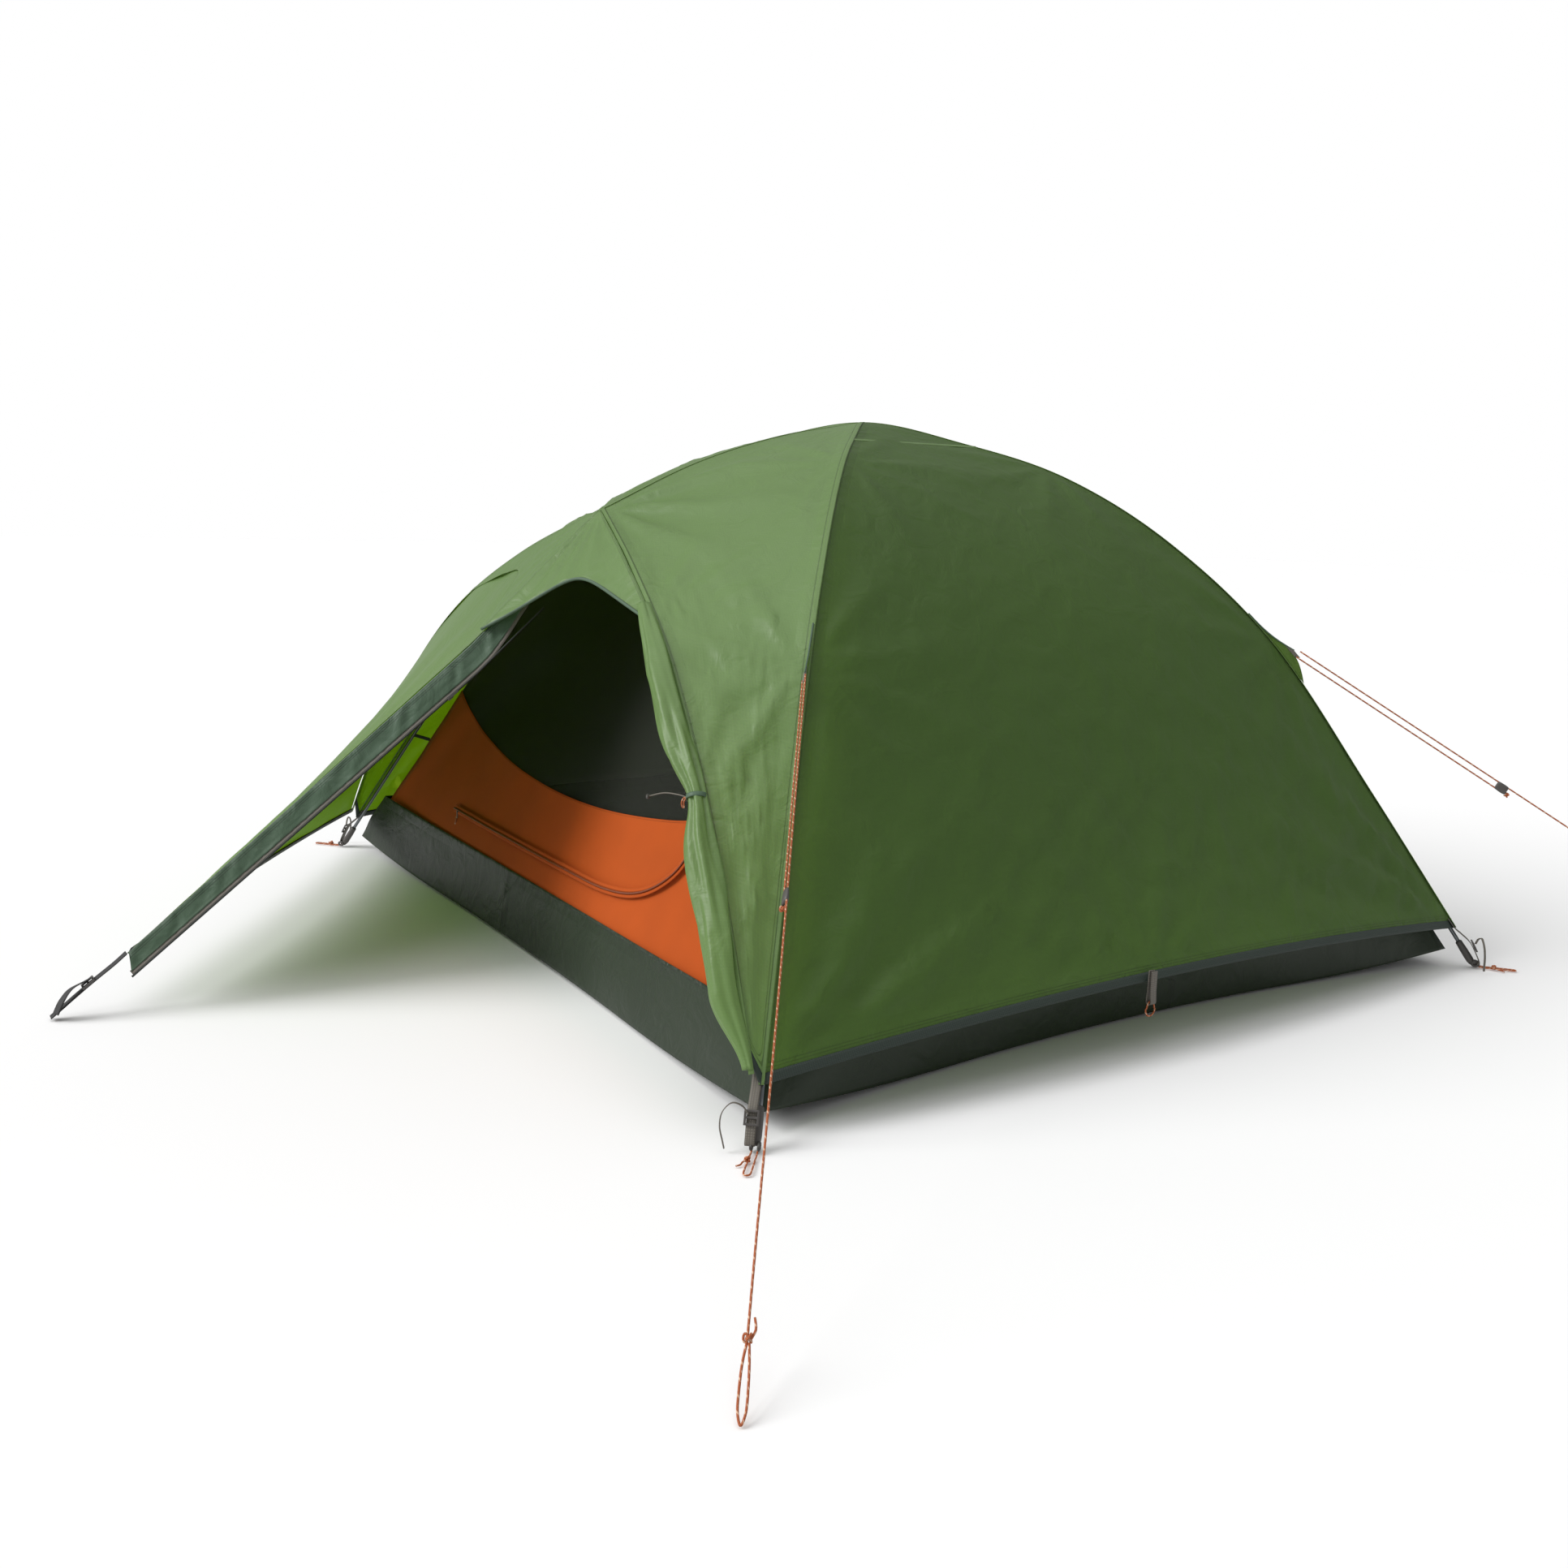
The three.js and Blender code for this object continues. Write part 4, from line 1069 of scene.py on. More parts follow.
        def tab(u, v):
            base = mix(top, bottom, u)
            return mix(base, end + (bottom - top) * (u - 0.5) * 0.6, v) + normal * 0.0022

        cloth_piece(f"gusset_tab_{corner}", tab, 6, 10, ["nylon_webbing"], "webbing", thickness=0.004)


# ---------------------------------------------------------------- hood and porch
def hood_surface(u, v):
    side = 2 * u - 1
    arch = 1 - HOOD_ARCH * math.sin(math.pi * abs(side))
    down = (0.04 + 0.96 * v) * arch
    edge = brow_seam(down * HOOD_SEAM) + Vector((-0.004, -0.004, 0))
    edge = Vector((math.copysign(edge.x, side), edge.y, edge.z))
    return mix(mix(HOOD_TOP, HOOD_REACH, down), edge, abs(side))


def hood_folds(point):
    away = point - HOOD_TOP
    angle = math.atan2(away.x, -away.z)
    reach = away.length
    ridge = math.sin(22 * angle + 2 * noise.noise(point * 9))
    rise = smooth(0.02, 0.12, reach) * (1 - 0.5 * smooth(0.2, 0.4, reach))
    rise *= 1 if point.x > 0 else 0.3
    return 0.0024 * ridge * rise + 0.0012 * creases(point, Vector((0.6, -0.5, -0.6)).normalized(), 24)


def porch_surface(u, v):
    seam = brow_seam(0.02 + 0.955 * v, -1) + Vector((0.004, -0.004, -0.007 * (1 - v)))
    top = crease(0.03 + 0.955 * v)
    margin = min(0.003 / (top - seam).length, 0.4)
    middle = 4 * u * (1 - u)
    bulge = Vector((-0.008 * middle * v ** 3, 0.028 * middle * v ** 3, 0.022 * middle * v ** 4))
    return mix(seam, top, margin + u * (1 - 2 * margin)) + bulge


def porch_folds(point):
    tip = CREASE[2]
    away = point - tip
    angle = math.atan2(away.x, away.y)
    fan = math.sin(26 * angle + 1.5 * noise.noise(point * 4))
    rise = smooth(0.05, 0.3, away.length) * (1 - 0.6 * smooth(0.5, 1.1, away.length))
    return 0.004 * fan * rise + 0.002 * noise.noise(point * 8)


def flap_surface(u, v):
    top, low = crease(0.14 + 0.84 * v) + Vector((0.002, 0, 0)), zip_edge(v)
    share = 0.01 + 0.98 * u
    low = mix(top, low, 0.25 + 0.75 * smooth(-0.02, 0.16, v))
    ripple = 0.0022 * math.sin(70 * v + 6 * noise.noise(Vector((14 * v, 0, 0)))) * math.sin(math.pi * share)
    pucker = 0.0016 * noise.noise(Vector((90 * v, 3 * u, 0))) * u
    return mix(top, low, share) + Vector((ripple + pucker, 0, 0.4 * ripple))


class TENT_OT_porch(bpy.types.Operator):
    """Makes the hood, the closed half of the porch and the flap over its zip"""
    bl_idname = "tent.porch"
    bl_label = "Hood and porch"

    def execute(self, context):
        hood = cloth_piece("hood_cloth", hood_surface, 72, 30, ["coated_cloth_front", "coated_cloth_inside"],
                           "fly_light", inside=1, displace=hood_folds, replaces=["brow_hood"],
                           seam=lambda u, v, width: min(min(u, 1 - u) * width, abs(u - 0.5) * width + 0.004))
        edge = [hood_surface(0.5 + i / 120, 1) + Vector((0, -0.001, -0.001)) for i in range(61)]
        piping = tube_piece("hood_piping", edge, 0.0032, ["coated_cloth_trim"], "fly_trim", 10)

        panel = cloth_piece("porch_cloth", porch_surface, 90, 110,
                            ["coated_cloth_front", "coated_cloth_inside"], "fly_light", inside=1,
                            displace=porch_folds, seam=side_seams, replaces=["porch_panel"])
        hem = ribbon_surface([porch_surface(i / 60, 0.994) for i in range(61)],
                             [Vector((-0.3, -0.8, 0.5)).normalized()] * 61, sizes().binding_width, 0.0006)
        bound = cloth_piece("porch_hem", hem, 3, 90, ["bias_binding"], "fly_trim", thickness=0.0028)

        flap = cloth_piece("zip_flap_cloth", flap_surface, 14, 190, ["coated_cloth_trim"], "fly_trim",
                           thickness=0.0012, replaces=["porch_zip_flap"],
                           seam=lambda u, v, width: abs(u - 0.12) * width)
        tape = ribbon_surface([flap_surface(1, i / 110) + Vector((0.001, 0, -0.003)) for i in range(111)],
                              [Vector((0.6, -0.5, 0.6)).normalized()] * 111, PORCH_ZIP_TAPE)
        tape_piece = cloth_piece("porch_zip_tape", tape, 3, 150, ["nylon_webbing"], "fly_trim",
                                 thickness=0.0012)
        beside = [zip_edge(i / 110) + Vector((0.004, 0, -0.009)) for i in range(111)]
        coil = tube_piece("porch_zip_coil", beside, lambda s: (0.0024, 0.0018), ["zip_coil_dark"],
                          "fly_trim", 8)
        return {"FINISHED"}


# ---------------------------------------------------------------- rolled door
ROLL_ASIDE = Vector((-0.72, -0.66, -0.2)).normalized()
ROLL_FROM, ROLL_SPAN = 0.3, 0.67
TIE_AT = 0.48


def roll_frame(share):
    at = ROLL_FROM + ROLL_SPAN * share
    on_seam = spline(BROW_SEAM, at)
    run = (spline(BROW_SEAM, at + 0.01) - spline(BROW_SEAM, at - 0.01)).normalized()
    depth = ROLL_ASIDE.cross(run).normalized()
    near = math.exp(-((share - TIE_AT) / 0.07) ** 2)
    fullness = (0.45 + 0.55 * min(1, 5 * share)) * (1 - 0.4 * near) * (1 - 0.7 * smooth(0.86, 1, share))
    return on_seam + ROLL_ASIDE * (0.027 * fullness - 0.003), run, depth, fullness


def roll_surface(u, v):
    """The outside of the rolled cloth, with long folds that gather at the tie."""
    centre, _, depth, fullness = roll_frame(v)
    angle = -2 * math.pi * u
    gather = 0.6 + 0.9 * math.exp(-((v - TIE_AT) / 0.16) ** 2)
    fold = math.sin(5 * angle + 9 * v + 0.8 * math.sin(17 * v)) + 0.5 * math.sin(9 * angle - 13 * v)
    wobble = 0.2 * gather * fold / 1.5 + 0.1 * math.sin(2 * angle + 21 * v)
    grow = (1 + wobble) * fullness
    return centre + ROLL_ASIDE * 0.0265 * grow * math.cos(angle) + depth * 0.0175 * grow * math.sin(angle)


class TENT_OT_rolled_door(bpy.types.Operator):
    """Makes the door half that is rolled back along the brow seam, with its tie and toggle"""
    bl_idname = "tent.rolled_door"
    bl_label = "Rolled door"

    def execute(self, context):
        bm = new_shape()
        lay_grid(bm, roll_surface, 44, 150)
        bmesh.ops.remove_doubles(bm, verts=bm.verts, dist=WELD)
        bmesh.ops.holes_fill(bm, edges=[e for e in bm.edges if e.is_boundary], sides=0)
        bmesh.ops.recalc_face_normals(bm, faces=bm.faces)
        roll = finish_piece(bm, "door_roll", ["coated_cloth_front"], "fly_light",
                            replaces=["porch_door_rolled"])
        centre, _, depth, fullness = roll_frame(TIE_AT)
        band = []
        for i in range(33):
            angle = 2 * math.pi * i / 32
            band.append(centre + ROLL_ASIDE * 0.0305 * fullness * math.cos(angle)
                        + depth * 0.0222 * fullness * math.sin(angle))
        ups = [(p - centre).normalized() for p in band]
        cloth_piece("door_tie", ribbon_surface(band, ups, 0.008, 0.0004), 3, 48, ["coated_cloth_trim"],
                    "fly_trim", thickness=0.0012)
        bm = new_shape()
        long = Vector((math.cos(0.5), -math.sin(0.5), 0))
        stations = [TOGGLE_AT + long * x * MM for x in (-11, -9.5, -5, -1.8, 0, 1.8, 5, 9.5, 11)]
        radii = (1.5, 3.2, 3.5, 2.9, 2.2, 2.9, 3.5, 3.2, 1.5)
        sweep(bm, stations, lambda s: (radii[round(s * 8)] * MM,) * 2, 14)
        finish_piece(bm, "toggle_barrel", ["moulded_acetal"], "plastic", body="door_toggle",
                     replaces=["door_toggle"], levels=1)
        held = centre + ROLL_ASIDE * 0.024 * fullness
        lead = [TOGGLE_AT, mix(TOGGLE_AT, held, 0.4) + Vector((0, 0, 0.007)),
                mix(TOGGLE_AT, held, 0.75) + Vector((0, 0, 0.005)), held]
        tube_piece("toggle_lead", resampled(lead, 17), 0.0012, ["nylon_webbing"], "cord", 8)
        eye = [held + ROLL_ASIDE * 0.006 + Vector(p) * MM for p in (
            (2, 0, 2), (-2, -2, 0), (-5, -4, -7), (-4, -3, -15), (-1, -1, -15), (-1, -2, -7), (3, 0, 1))]
        tube_piece("toggle_loop", resampled(eye, 25), 0.0013, ["braided_cord"], "cord", 8)
        return {"FINISHED"}


# ---------------------------------------------------------------- groundsheet
def floor_ring(u, half, bow, z, lift):
    """A point round a ring of the groundsheet, from the front right corner anticlockwise."""
    corners = ((1, -1), (1, 1), (-1, 1), (-1, -1))
    side = int(u * 4) % 4
    t = u * 4 - int(u * 4)
    (x0, y0), (x1, y1) = corners[side], corners[(side + 1) % 4]
    inwards = Vector((-x0 * bow[0], 0, 0)) if x0 == x1 else Vector((0, -y0 * bow[1], 0))
    raised = lift * (2 * max(0, abs(2 * t - 1) - 0.5)) ** 2
    return Vector((half[0] * mix(x0, x1, t), half[1] * mix(y0, y1, t), z + raised)) + inwards * 4 * t * (1 - t)


def groundsheet_surface(u, v):
    """From the top of the wall down to the ground, and then in to the middle of the floor."""
    long, wide = FLOOR_HALF
    rings = [
        (0, floor_ring(u, (long - 0.06, wide - 0.05), (0.012, 0.006), WALL_HEIGHT, 0.006)),
        (0.5, floor_ring(u, (long, wide), (0.085, 0.035), 0.006, 0.03)),
        (0.56, floor_ring(u, (long - 0.012, wide - 0.012), (0.085, 0.035), 0.0004, 0.03)),
        (0.7, floor_ring(u, (long - 0.17, wide - 0.17), (0, 0), 0.0004, 0)),
        (1, Vector((0, 0, 0.0004))),
    ]
    for (start, first), (end, second) in zip(rings, rings[1:]):
        if v <= end:
            point = mix(first, second, (v - start) / (end - start))
            break
    if v < 0.5:
        upright = math.sin(math.pi * v * 2)
        t = (u * 4) % 1
        out = Vector((point.x / long, 0, 0)) if int(u * 4) % 2 == 0 else Vector((0, point.y / wide, 0))
        corner = math.exp(-((0.5 - abs(t - 0.5)) / 0.12) ** 2)
        pleats = math.sin(150 * u + 5 * noise.noise(point * 4)) * (0.0016 + 0.004 * corner)
        slump = 0.006 * noise.noise(Vector((u * 40, 3, 0)))
        point = point + out.normalized() * upright * (pleats + slump)
    return point


class TENT_OT_groundsheet(bpy.types.Operator):
    """Makes the bathtub groundsheet"""
    bl_idname = "tent.groundsheet"
    bl_label = "Groundsheet"

    def execute(self, context):
        bm = new_shape()
        lay_grid(bm, groundsheet_surface, 400, 46, 0,
                 lambda u, v, width: min(v * 0.32, abs(u - 0.86) * 7.8, abs(u - 0.14) * 7.8))
        bmesh.ops.remove_doubles(bm, verts=bm.verts, dist=0.0001)
        sheet = finish_piece(bm, "groundsheet_cloth", ["coated_cloth_floor"], "groundsheet",
                             replaces=["groundsheet"], thickness=0.001)
        return {"FINISHED"}


# ---------------------------------------------------------------- inner tent
def inner_point(first, second, u, v):
    a, b = pole_seam(first, v) * INNER_SCALE, pole_seam(second, v) * INNER_SCALE
    margin = min(0.003 / (b - a).length, 0.4)
    return mix(a, b, margin + u * (1 - 2 * margin))


def orange_top(u):
    return ORANGE_MID_V - ORANGE_RISE * (2 * u - 1) ** 2


def inner_wall(first, second, top, bottom, ahead):
    def surface(u, v):
        low = top(u)
        return inner_point(first, second, u, low + v * (bottom(u) - low)) + ahead * (1 - v)
    return surface


@lru_cache(maxsize=None)
def front_row_at(height):
    """The row of the inner front wall that lies at a height."""
    low, high = 0.2, 0.99
    for _ in range(30):
        middle = (low + high) / 2
        low, high = (middle, high) if arc_at(middle).z * INNER_SCALE > height else (low, middle)
    return low


def on_front_wall(x, z, off=0.0):
    """The point of the inner front wall at an x and a height, a little in front of it."""
    row = front_row_at(z)
    y = pole_seam("a", row).y * INNER_SCALE
    steeper = front_row_at(z + 0.02)
    run = Vector((0, pole_seam("a", steeper).y * INNER_SCALE - y, 0.02)).normalized()
    return Vector((x, y, z)) + Vector((0, -run.z, run.y)) * off


class TENT_OT_inner_tent(bpy.types.Operator):
    """Makes the inner tent: mesh door, orange front panel with its zip, and the other walls"""
    bl_idname = "tent.inner_tent"
    bl_label = "Inner tent"

    def execute(self, context):
        top, bottom = (lambda u: INNER_TOP_V), (lambda u: INNER_BOTTOM_V)
        split = (lambda u: 0.49)
        still = Vector()
        sag = (lambda p: smooth(0.15, 0.3, p.z) * (0.003 * noise.noise(p * 9)
                                                   - 0.008 * (0.5 + 0.5 * noise.noise(p * 3))))
        walls = (
            ("inner_right_cloth", "a", "c", top, bottom, "breathable_grey", "inner_fabric",
             "inner_right_wall", still, (1.95, 1.6), 1.41),
            ("inner_left_cloth", "d", "b", top, bottom, "breathable_grey", "inner_fabric",
             "inner_left_wall", still, (1.95, 1.6), 1.41),
            ("inner_rear_cloth", "c", "d", split, bottom, "breathable_grey", "inner_fabric",
             "inner_rear_wall", Vector((0, -0.003, 0)), (1.95, 0.92), 1.3),
            ("inner_rear_mesh", "c", "d", top, lambda u: 0.502, "insect_mesh", "inner_mesh",
             None, still, (0.98, 0.72), 0.29),
            ("inner_door_mesh", "b", "a", top, lambda u: orange_top(u) + 0.012, "insect_mesh", "inner_mesh",
             "inner_front_mesh", still, (1.75, 1.4), 1.13),
            ("inner_orange_cloth", "b", "a", orange_top, bottom, "breathable_orange", "inner_orange",
             "inner_front_panel", Vector((0, -0.003, 0)), (2.0, 0.35), 0.48),
        )
        for name, first, second, low, high, finish, slot, node, ahead, flat, area in walls:
            piece = cloth_piece(name, inner_wall(first, second, low, high, ahead), 60, 44, [finish], slot,
                                thickness=0.0007, displace=sag,
                                seam=lambda u, v, width: min(side_seams(u, v, width), v * 0.4),
                                replaces=[node] if node else ())
        self.door_zip()
        self.clips()
        return {"FINISHED"}

    def clips(self):
        """The webbing ties that hold the inner tent to the poles."""
        bm = new_shape()
        for corner in CORNERS:
            for v in (0.3, 0.44, 0.58, 0.72, 0.85):
                hung, held = pole_seam(corner, v) * INNER_SCALE, on_diagonal(pole_centre(v), corner)
                run = held - hung
                turned = run.to_track_quat("Y", "X").to_matrix().to_4x4()
                block(bm, (0.009, run.length + 0.006, 0.0024),
                      Matrix.Translation(mix(hung, held, 0.5)) @ turned, 0.0008)
        finish_piece(bm, "inner_ties", ["black_webbing"], "webbing")

    def door_zip(self):
        """The zip that runs along the orange panel and turns up into the mesh door."""
        outline = [(-0.527, 0.206), (-0.35, 0.204), (-0.1, 0.203), (0.12, 0.203), (0.318, 0.206),
                   (0.447, 0.227), (0.531, 0.274), (0.564, 0.33), (0.562, 0.42), (0.53, 0.53)]
        flat = resampled([Vector((x, 0, z)) for x, z in outline], 140)
        path = [on_front_wall(p.x, p.z, 0.007) for p in flat]
        ups = [Vector((0, -0.93, 0.36))] * len(path)
        cloth_piece("inner_zip_tape", ribbon_surface(path, ups, INNER_ZIP_TAPE), 4, 180,
                    ["breathable_orange"], "inner_orange", thickness=0.0008, seam=side_seams)
        tube_piece("inner_zip_coil", [p + Vector((0, -0.0018, 0)) for p in path],
                   lambda s: (0.0022, 0.0016), ["zip_coil_orange"], "inner_orange", 8)


# ---------------------------------------------------------------- poles
class TENT_OT_poles(bpy.types.Operator):
    """Makes the poles with the sleeves that join their sections"""
    bl_idname = "tent.poles"
    bl_label = "Poles"

    def execute(self, context):
        radius = sizes().pole_diameter / 2
        for corner in CORNERS:
            for part, start, end in (("upper", 0.035, JOINT_V), ("lower", JOINT_V + 0.0006, POLE_END_V)):
                path = [on_diagonal(pole_centre(mix(start, end, i / 40)), corner) for i in range(41)]
                bm = new_shape()
                sweep(bm, path, radius, 16)
                if part == "upper":
                    sweep(bm, path[-3:], radius + 0.0006, 16)
                finish_piece(bm, f"pole_{part}_tube_{corner}", ["anodised_aluminium"], "pole_alloy",
                             replaces=[f"pole_{part}_{corner}"])
        ridge = [spline(RIDGE, mix(0.075, 0.97, i / 40)) - Vector((0, 0, UNDER_FLY + 0.002))
                 for i in range(41)]
        tube_piece("ridge_tube", ridge, radius, ["anodised_aluminium"], "pole_alloy", 16,
                   replaces=["ridge_pole"])
        hub = frame["nodes"]["pole_hub"]
        hub.material_slots[0].material = material("moulded_acetal")
        return {"FINISHED"}


# ---------------------------------------------------------------- corner fittings
STRAP_TOP, STRAP_FOOT = Vector((-27, -8, 95)) * MM, Vector((14, -8, 19)) * MM


def ribbon_path(place, points, width, name, finish, slot, across, body=TENT, thickness=0.0016,
                replaces=(), count=40):
    """A strap that follows points, with its width along one direction."""
    path = [place @ p for p in resampled(points, count)]
    wide = (place.to_3x3() @ Vector(across)).normalized()
    ups = []
    for i in range(count):
        run = path[min(i + 1, count - 1)] - path[max(i - 1, 0)]
        ups.append(run.cross(wide).normalized())
    cloth_piece(name, ribbon_surface(path, ups, width), 4, 2 * count, [finish], slot,
                thickness=thickness, body=body, replaces=replaces)


class TENT_OT_corner_fittings(bpy.types.Operator):
    """Makes the pole feet, corner straps and ladder buckles"""
    bl_idname = "tent.corner_fittings"
    bl_label = "Corner fittings"

    def execute(self, context):
        for corner in CORNERS:
            place = corner_frame(corner)
            self.foot(corner, place)
            along = (STRAP_TOP - STRAP_FOOT).normalized()
            out = Vector((0, 1, 0)).cross(along).normalized()
            out = out if out.x > 0 else -out
            drop = [Vector(p) * MM for p in ((-58, -8, 108), (-42, -8, 88), (-27, -8, 76))]
            drop += [mix(STRAP_TOP, STRAP_FOOT, 0.5), STRAP_FOOT, STRAP_FOOT + Vector((-2, 0, -9)) * MM]
            ribbon_path(place, drop, sizes().webbing_width, f"corner_webbing_{corner}", "nylon_webbing",
                        "webbing", (0, 1, 0), replaces=[f"corner_strap_{corner}"])
            tail = [Vector(p) * MM for p in (
                (2, -12, 58), (5, -22, 72), (9, -38, 77), (13, -52, 62), (16, -55, 40), (18, -50, 18),
                (19, -47, 6))]
            ribbon_path(place, tail, CORNER_TAIL_WIDTH, f"corner_tail_{corner}", "nylon_webbing", "webbing",
                        (1, 0, 0.2), count=36)
            middle = mix(STRAP_FOOT, STRAP_TOP, 0.4) + out * 0.0034
            turned = axes_at(middle, Vector((0, 1, 0)), along, -out)
            bm = new_shape()
            ladder(bm, *CORNER_LADDER, place @ turned)
            finish_piece(bm, f"ladder_lock_{corner}", ["moulded_acetal"], "plastic",
                         body=f"ladder_buckle_{corner}", replaces=[f"ladder_buckle_{corner}"])
        return {"FINISHED"}

    def foot(self, corner, place):
        """The moulded cup on the pole's end, with a lug on each side for the webbing and the peg loop."""
        end = pole_centre(POLE_END_V) - Vector((REACH, 0, 0))
        run = (pole_centre(POLE_END_V) - pole_centre(POLE_END_V - 0.01)).normalized()
        profile = ((-14, 5.4), (-13, 6.6), (-11, 7.0), (0, 7.4), (6, 7.8), (30, 8.0), (36, 7.8),
                   (42, 6.4), (46, 4.0))
        stations = [place @ (end + run * z * MM) for z, _ in profile]
        bm = new_shape()
        steps = len(profile) - 1
        sweep(bm, stations, lambda s: (profile[round(s * steps)][1] * MM,) * 2, 20)
        for y in (-10, 10):
            ring = []
            for i in range(17):
                turn = 2 * math.pi * i / 16
                ring.append(place @ Vector(((8 + 7 * math.cos(turn)) * MM, y * 0.6 * MM,
                                            (9 + 4.6 * math.sin(turn)) * MM)))
            sweep(bm, ring, 0.0026, 10)
        finish_piece(bm, f"pole_cup_{corner}", ["moulded_acetal"], "plastic",
                     replaces=[f"pole_foot_{corner}"])


# ---------------------------------------------------------------- side pegging points
class TENT_OT_side_pegging(bpy.types.Operator):
    """Makes the webbing tabs and their rings at the middle of the side hems"""
    bl_idname = "tent.side_pegging"
    bl_label = "Side pegging"

    def execute(self, context):
        x, y, z = RING_AT
        for key, side in (("right", 1), ("left", -1)):
            here = Matrix.Translation((side * x, y, z))
            fold = [Vector(p) * MM for p in (
                (2.6, 0, 58), (3, 0, 40), (3.4, 0, 20), (4.6, 0, 5), (4.4, 0, -2), (0, 0, -5.0),
                (-4.4, 0, -2), (-4.6, 0, 5), (-3.4, 0, 20), (-3, 0, 40), (-2.6, 0, 58))]
            ribbon_path(here, fold, SIDE_TAB_WIDTH, f"side_tab_webbing_{key}", "nylon_webbing", "webbing",
                        (0, -1, 0), replaces=[f"side_tab_{key}"], count=60)
            ring = []
            for i in range(49):
                turn = 2 * math.pi * i / 48
                wide = 0.8 if math.cos(turn) > 0 else 1.0
                ring.append(here @ Vector((0, RING_RADIUS * 0.86 * wide * math.sin(turn),
                                           -RING_RADIUS + RING_RADIUS * math.cos(turn))))
            bm = new_shape()
            sweep(bm, ring, 0.0016, 8)
            finish_piece(bm, f"side_loop_{key}", ["braided_cord"], "cord", body=f"side_ring_{key}",
                         replaces=[f"side_ring_{key}"])
        return {"FINISHED"}


# ---------------------------------------------------------------- porch strap and zip sliders
def slider(bm, place, run, up, scale):
    """A zip slider: a tapered body with a bridge and a pull."""
    across = run.cross(up).normalized()
    up = across.cross(run).normalized()
    turned = axes_at(place, across, run, up)
    for size, at in (((8, 12, 1.6), (0, 0, -1.6)), ((8, 12, 1.6), (0, 0, 1.6)), ((2, 5, 3), (0, 2, 0)),
                     ((3, 9, 1.6), (0, 1, 3.6)), ((6, 22, 1.4), (0, -10, 4.8))):
        block(bm, [s * scale * MM for s in size],
              turned @ Matrix.Translation(Vector(at) * scale * MM), 0.5 * MM)


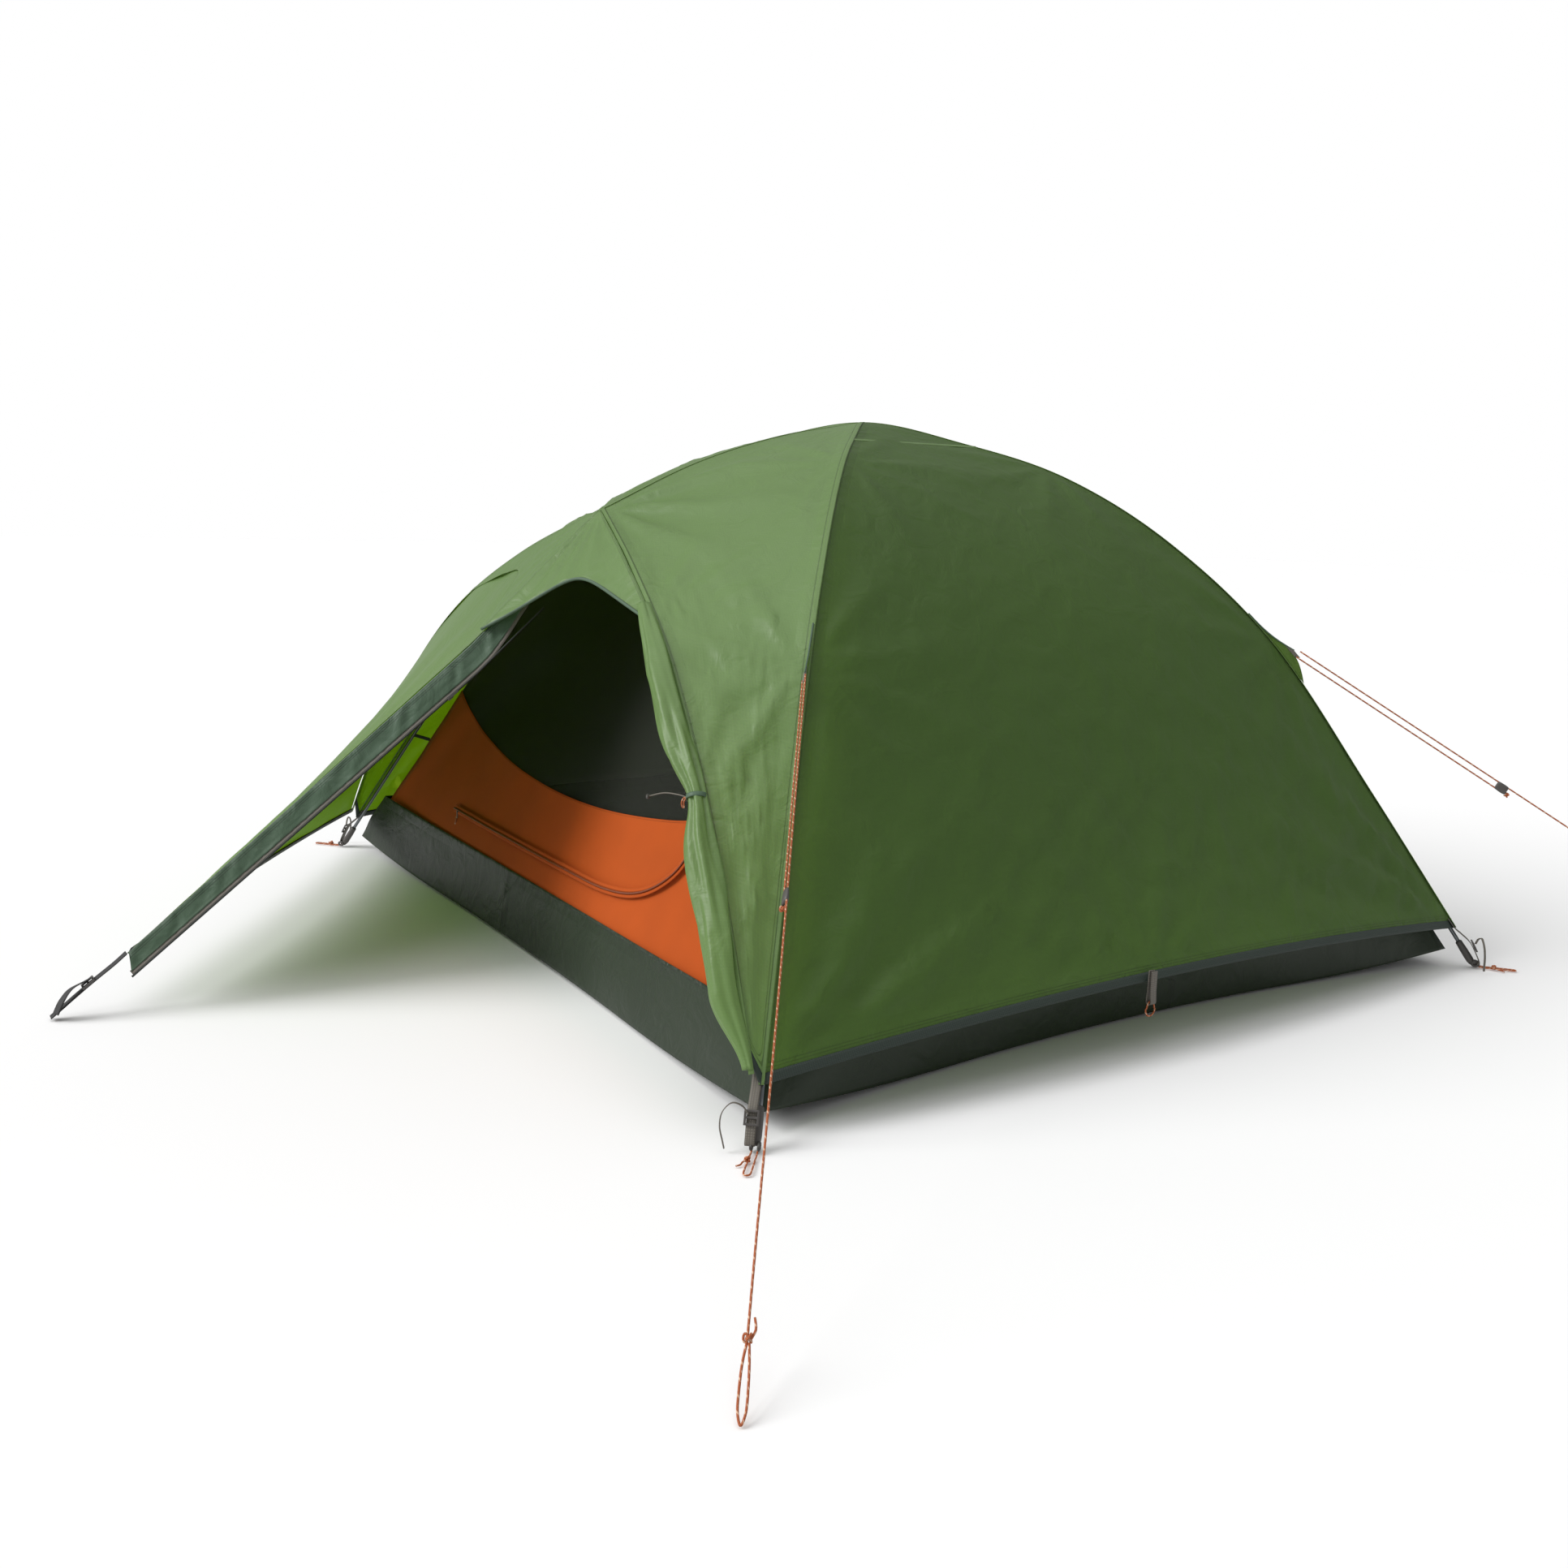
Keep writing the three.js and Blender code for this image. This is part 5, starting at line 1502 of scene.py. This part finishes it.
class TENT_OT_porch_fittings(bpy.types.Operator):
    """Makes the porch strap with its adjuster, and the zip sliders"""
    bl_idname = "tent.porch_fittings"
    bl_label = "Porch fittings"

    def execute(self, context):
        top, foot = PORCH_STRAP_TOP, PORCH_STRAP_FOOT
        along = (top - foot).normalized()
        up = Vector((1, 0, 0)).cross(along).normalized()
        up = up if up.z > 0 else -up
        still = Matrix.Identity(4)
        strap = [top + along * 0.03 + up * 0.001, top, mix(top, foot, 0.3) + up * 0.001,
                 mix(top, foot, 0.62) + up * 0.0008, mix(top, foot, 0.85), foot]
        ribbon_path(still, strap, PORCH_WEBBING, "porch_webbing", "black_webbing", "webbing", (1, 0, 0),
                    replaces=["porch_strap"], thickness=0.0018, count=50)
        middle = mix(foot, top, 0.62)
        tail = [middle + up * 0.0065 + along * 0.012, middle + up * 0.010, mix(foot, top, 0.42) + up * 0.016,
                mix(foot, top, 0.26) + up * 0.013 + Vector((0.007, 0, 0)),
                foot + up * 0.010 + Vector((0.010, 0.014, 0))]
        ribbon_path(still, tail, PORCH_WEBBING, "porch_strap_tail", "black_webbing", "webbing",
                    (0.75, 0.5, 0.42))
        turned = axes_at(middle + up * 0.0036, Vector((1, 0, 0)), along, -up)
        bm = new_shape()
        ladder(bm, *PORCH_LADDER, turned)
        finish_piece(bm, "strap_ladder", ["moulded_acetal"], "plastic", body="strap_adjuster",
                     replaces=["strap_adjuster"])

        run = (zip_edge(1) - zip_edge(0.25)).normalized()
        bm = new_shape()
        slider(bm, zip_edge(0.25) + Vector((0.005, 0, -0.009)), run, Vector((0.9, -0.2, 0.4)), 1)
        finish_piece(bm, "porch_slider", ["moulded_acetal"], "zip_metal", body="porch_zip_slider",
                     replaces=["porch_zip_slider"])
        bm = new_shape()
        place = inner_point("b", "a", 0.235, 0.91) + Vector((0, -0.0062, 0))
        slider(bm, place, Vector((0, 0, 1)), Vector((0, -1, 0)), 0.85)
        pull = [place + Vector(p) * MM for p in ((0, -6, -14), (1, -8, -24), (-2, -8, -40), (1, -7, -52))]
        sweep(bm, resampled(pull, 13), lambda s: (0.0026, 0.0012), 8, index=1)
        finish_piece(bm, "inner_slider", ["moulded_acetal", "braided_cord"], "zip_metal",
                     body="inner_zip_slider", replaces=["inner_zip_slider"])
        return {"FINISHED"}


# ---------------------------------------------------------------- the add-on
STEPS = (TENT_OT_stage, TENT_OT_guy_lines, TENT_OT_peg_loops, TENT_OT_flysheet, TENT_OT_porch,
         TENT_OT_rolled_door, TENT_OT_groundsheet, TENT_OT_inner_tent, TENT_OT_poles,
         TENT_OT_corner_fittings, TENT_OT_side_pegging, TENT_OT_porch_fittings)


class TENT_PT_panel(bpy.types.Panel):
    """Lists the tent's pieces and the sizes and colours they take"""
    bl_label = "Tent"
    bl_idname = "TENT_PT_panel"
    bl_space_type = "VIEW_3D"
    bl_region_type = "UI"
    bl_category = "Tent"

    def draw(self, context):
        for step in STEPS:
            self.layout.operator(step.bl_idname)
        for group in (context.scene.tent_sizes, context.scene.tent_colours):
            box = self.layout.box()
            for name in group.__annotations__:
                box.prop(group, name)


CLASSES = (TentSizes, TentColours, *STEPS, TENT_PT_panel)


def register():
    for each in CLASSES:
        bpy.utils.register_class(each)
    bpy.types.Scene.tent_sizes = PointerProperty(type=TentSizes)
    bpy.types.Scene.tent_colours = PointerProperty(type=TentColours)


def unregister():
    del bpy.types.Scene.tent_sizes
    del bpy.types.Scene.tent_colours
    for each in reversed(CLASSES):
        bpy.utils.unregister_class(each)


def main():
    register()
    for step in STEPS:
        area, name = step.bl_idname.split(".")
        getattr(getattr(bpy.ops, area), name)()


if __name__ == "__main__":
    main()
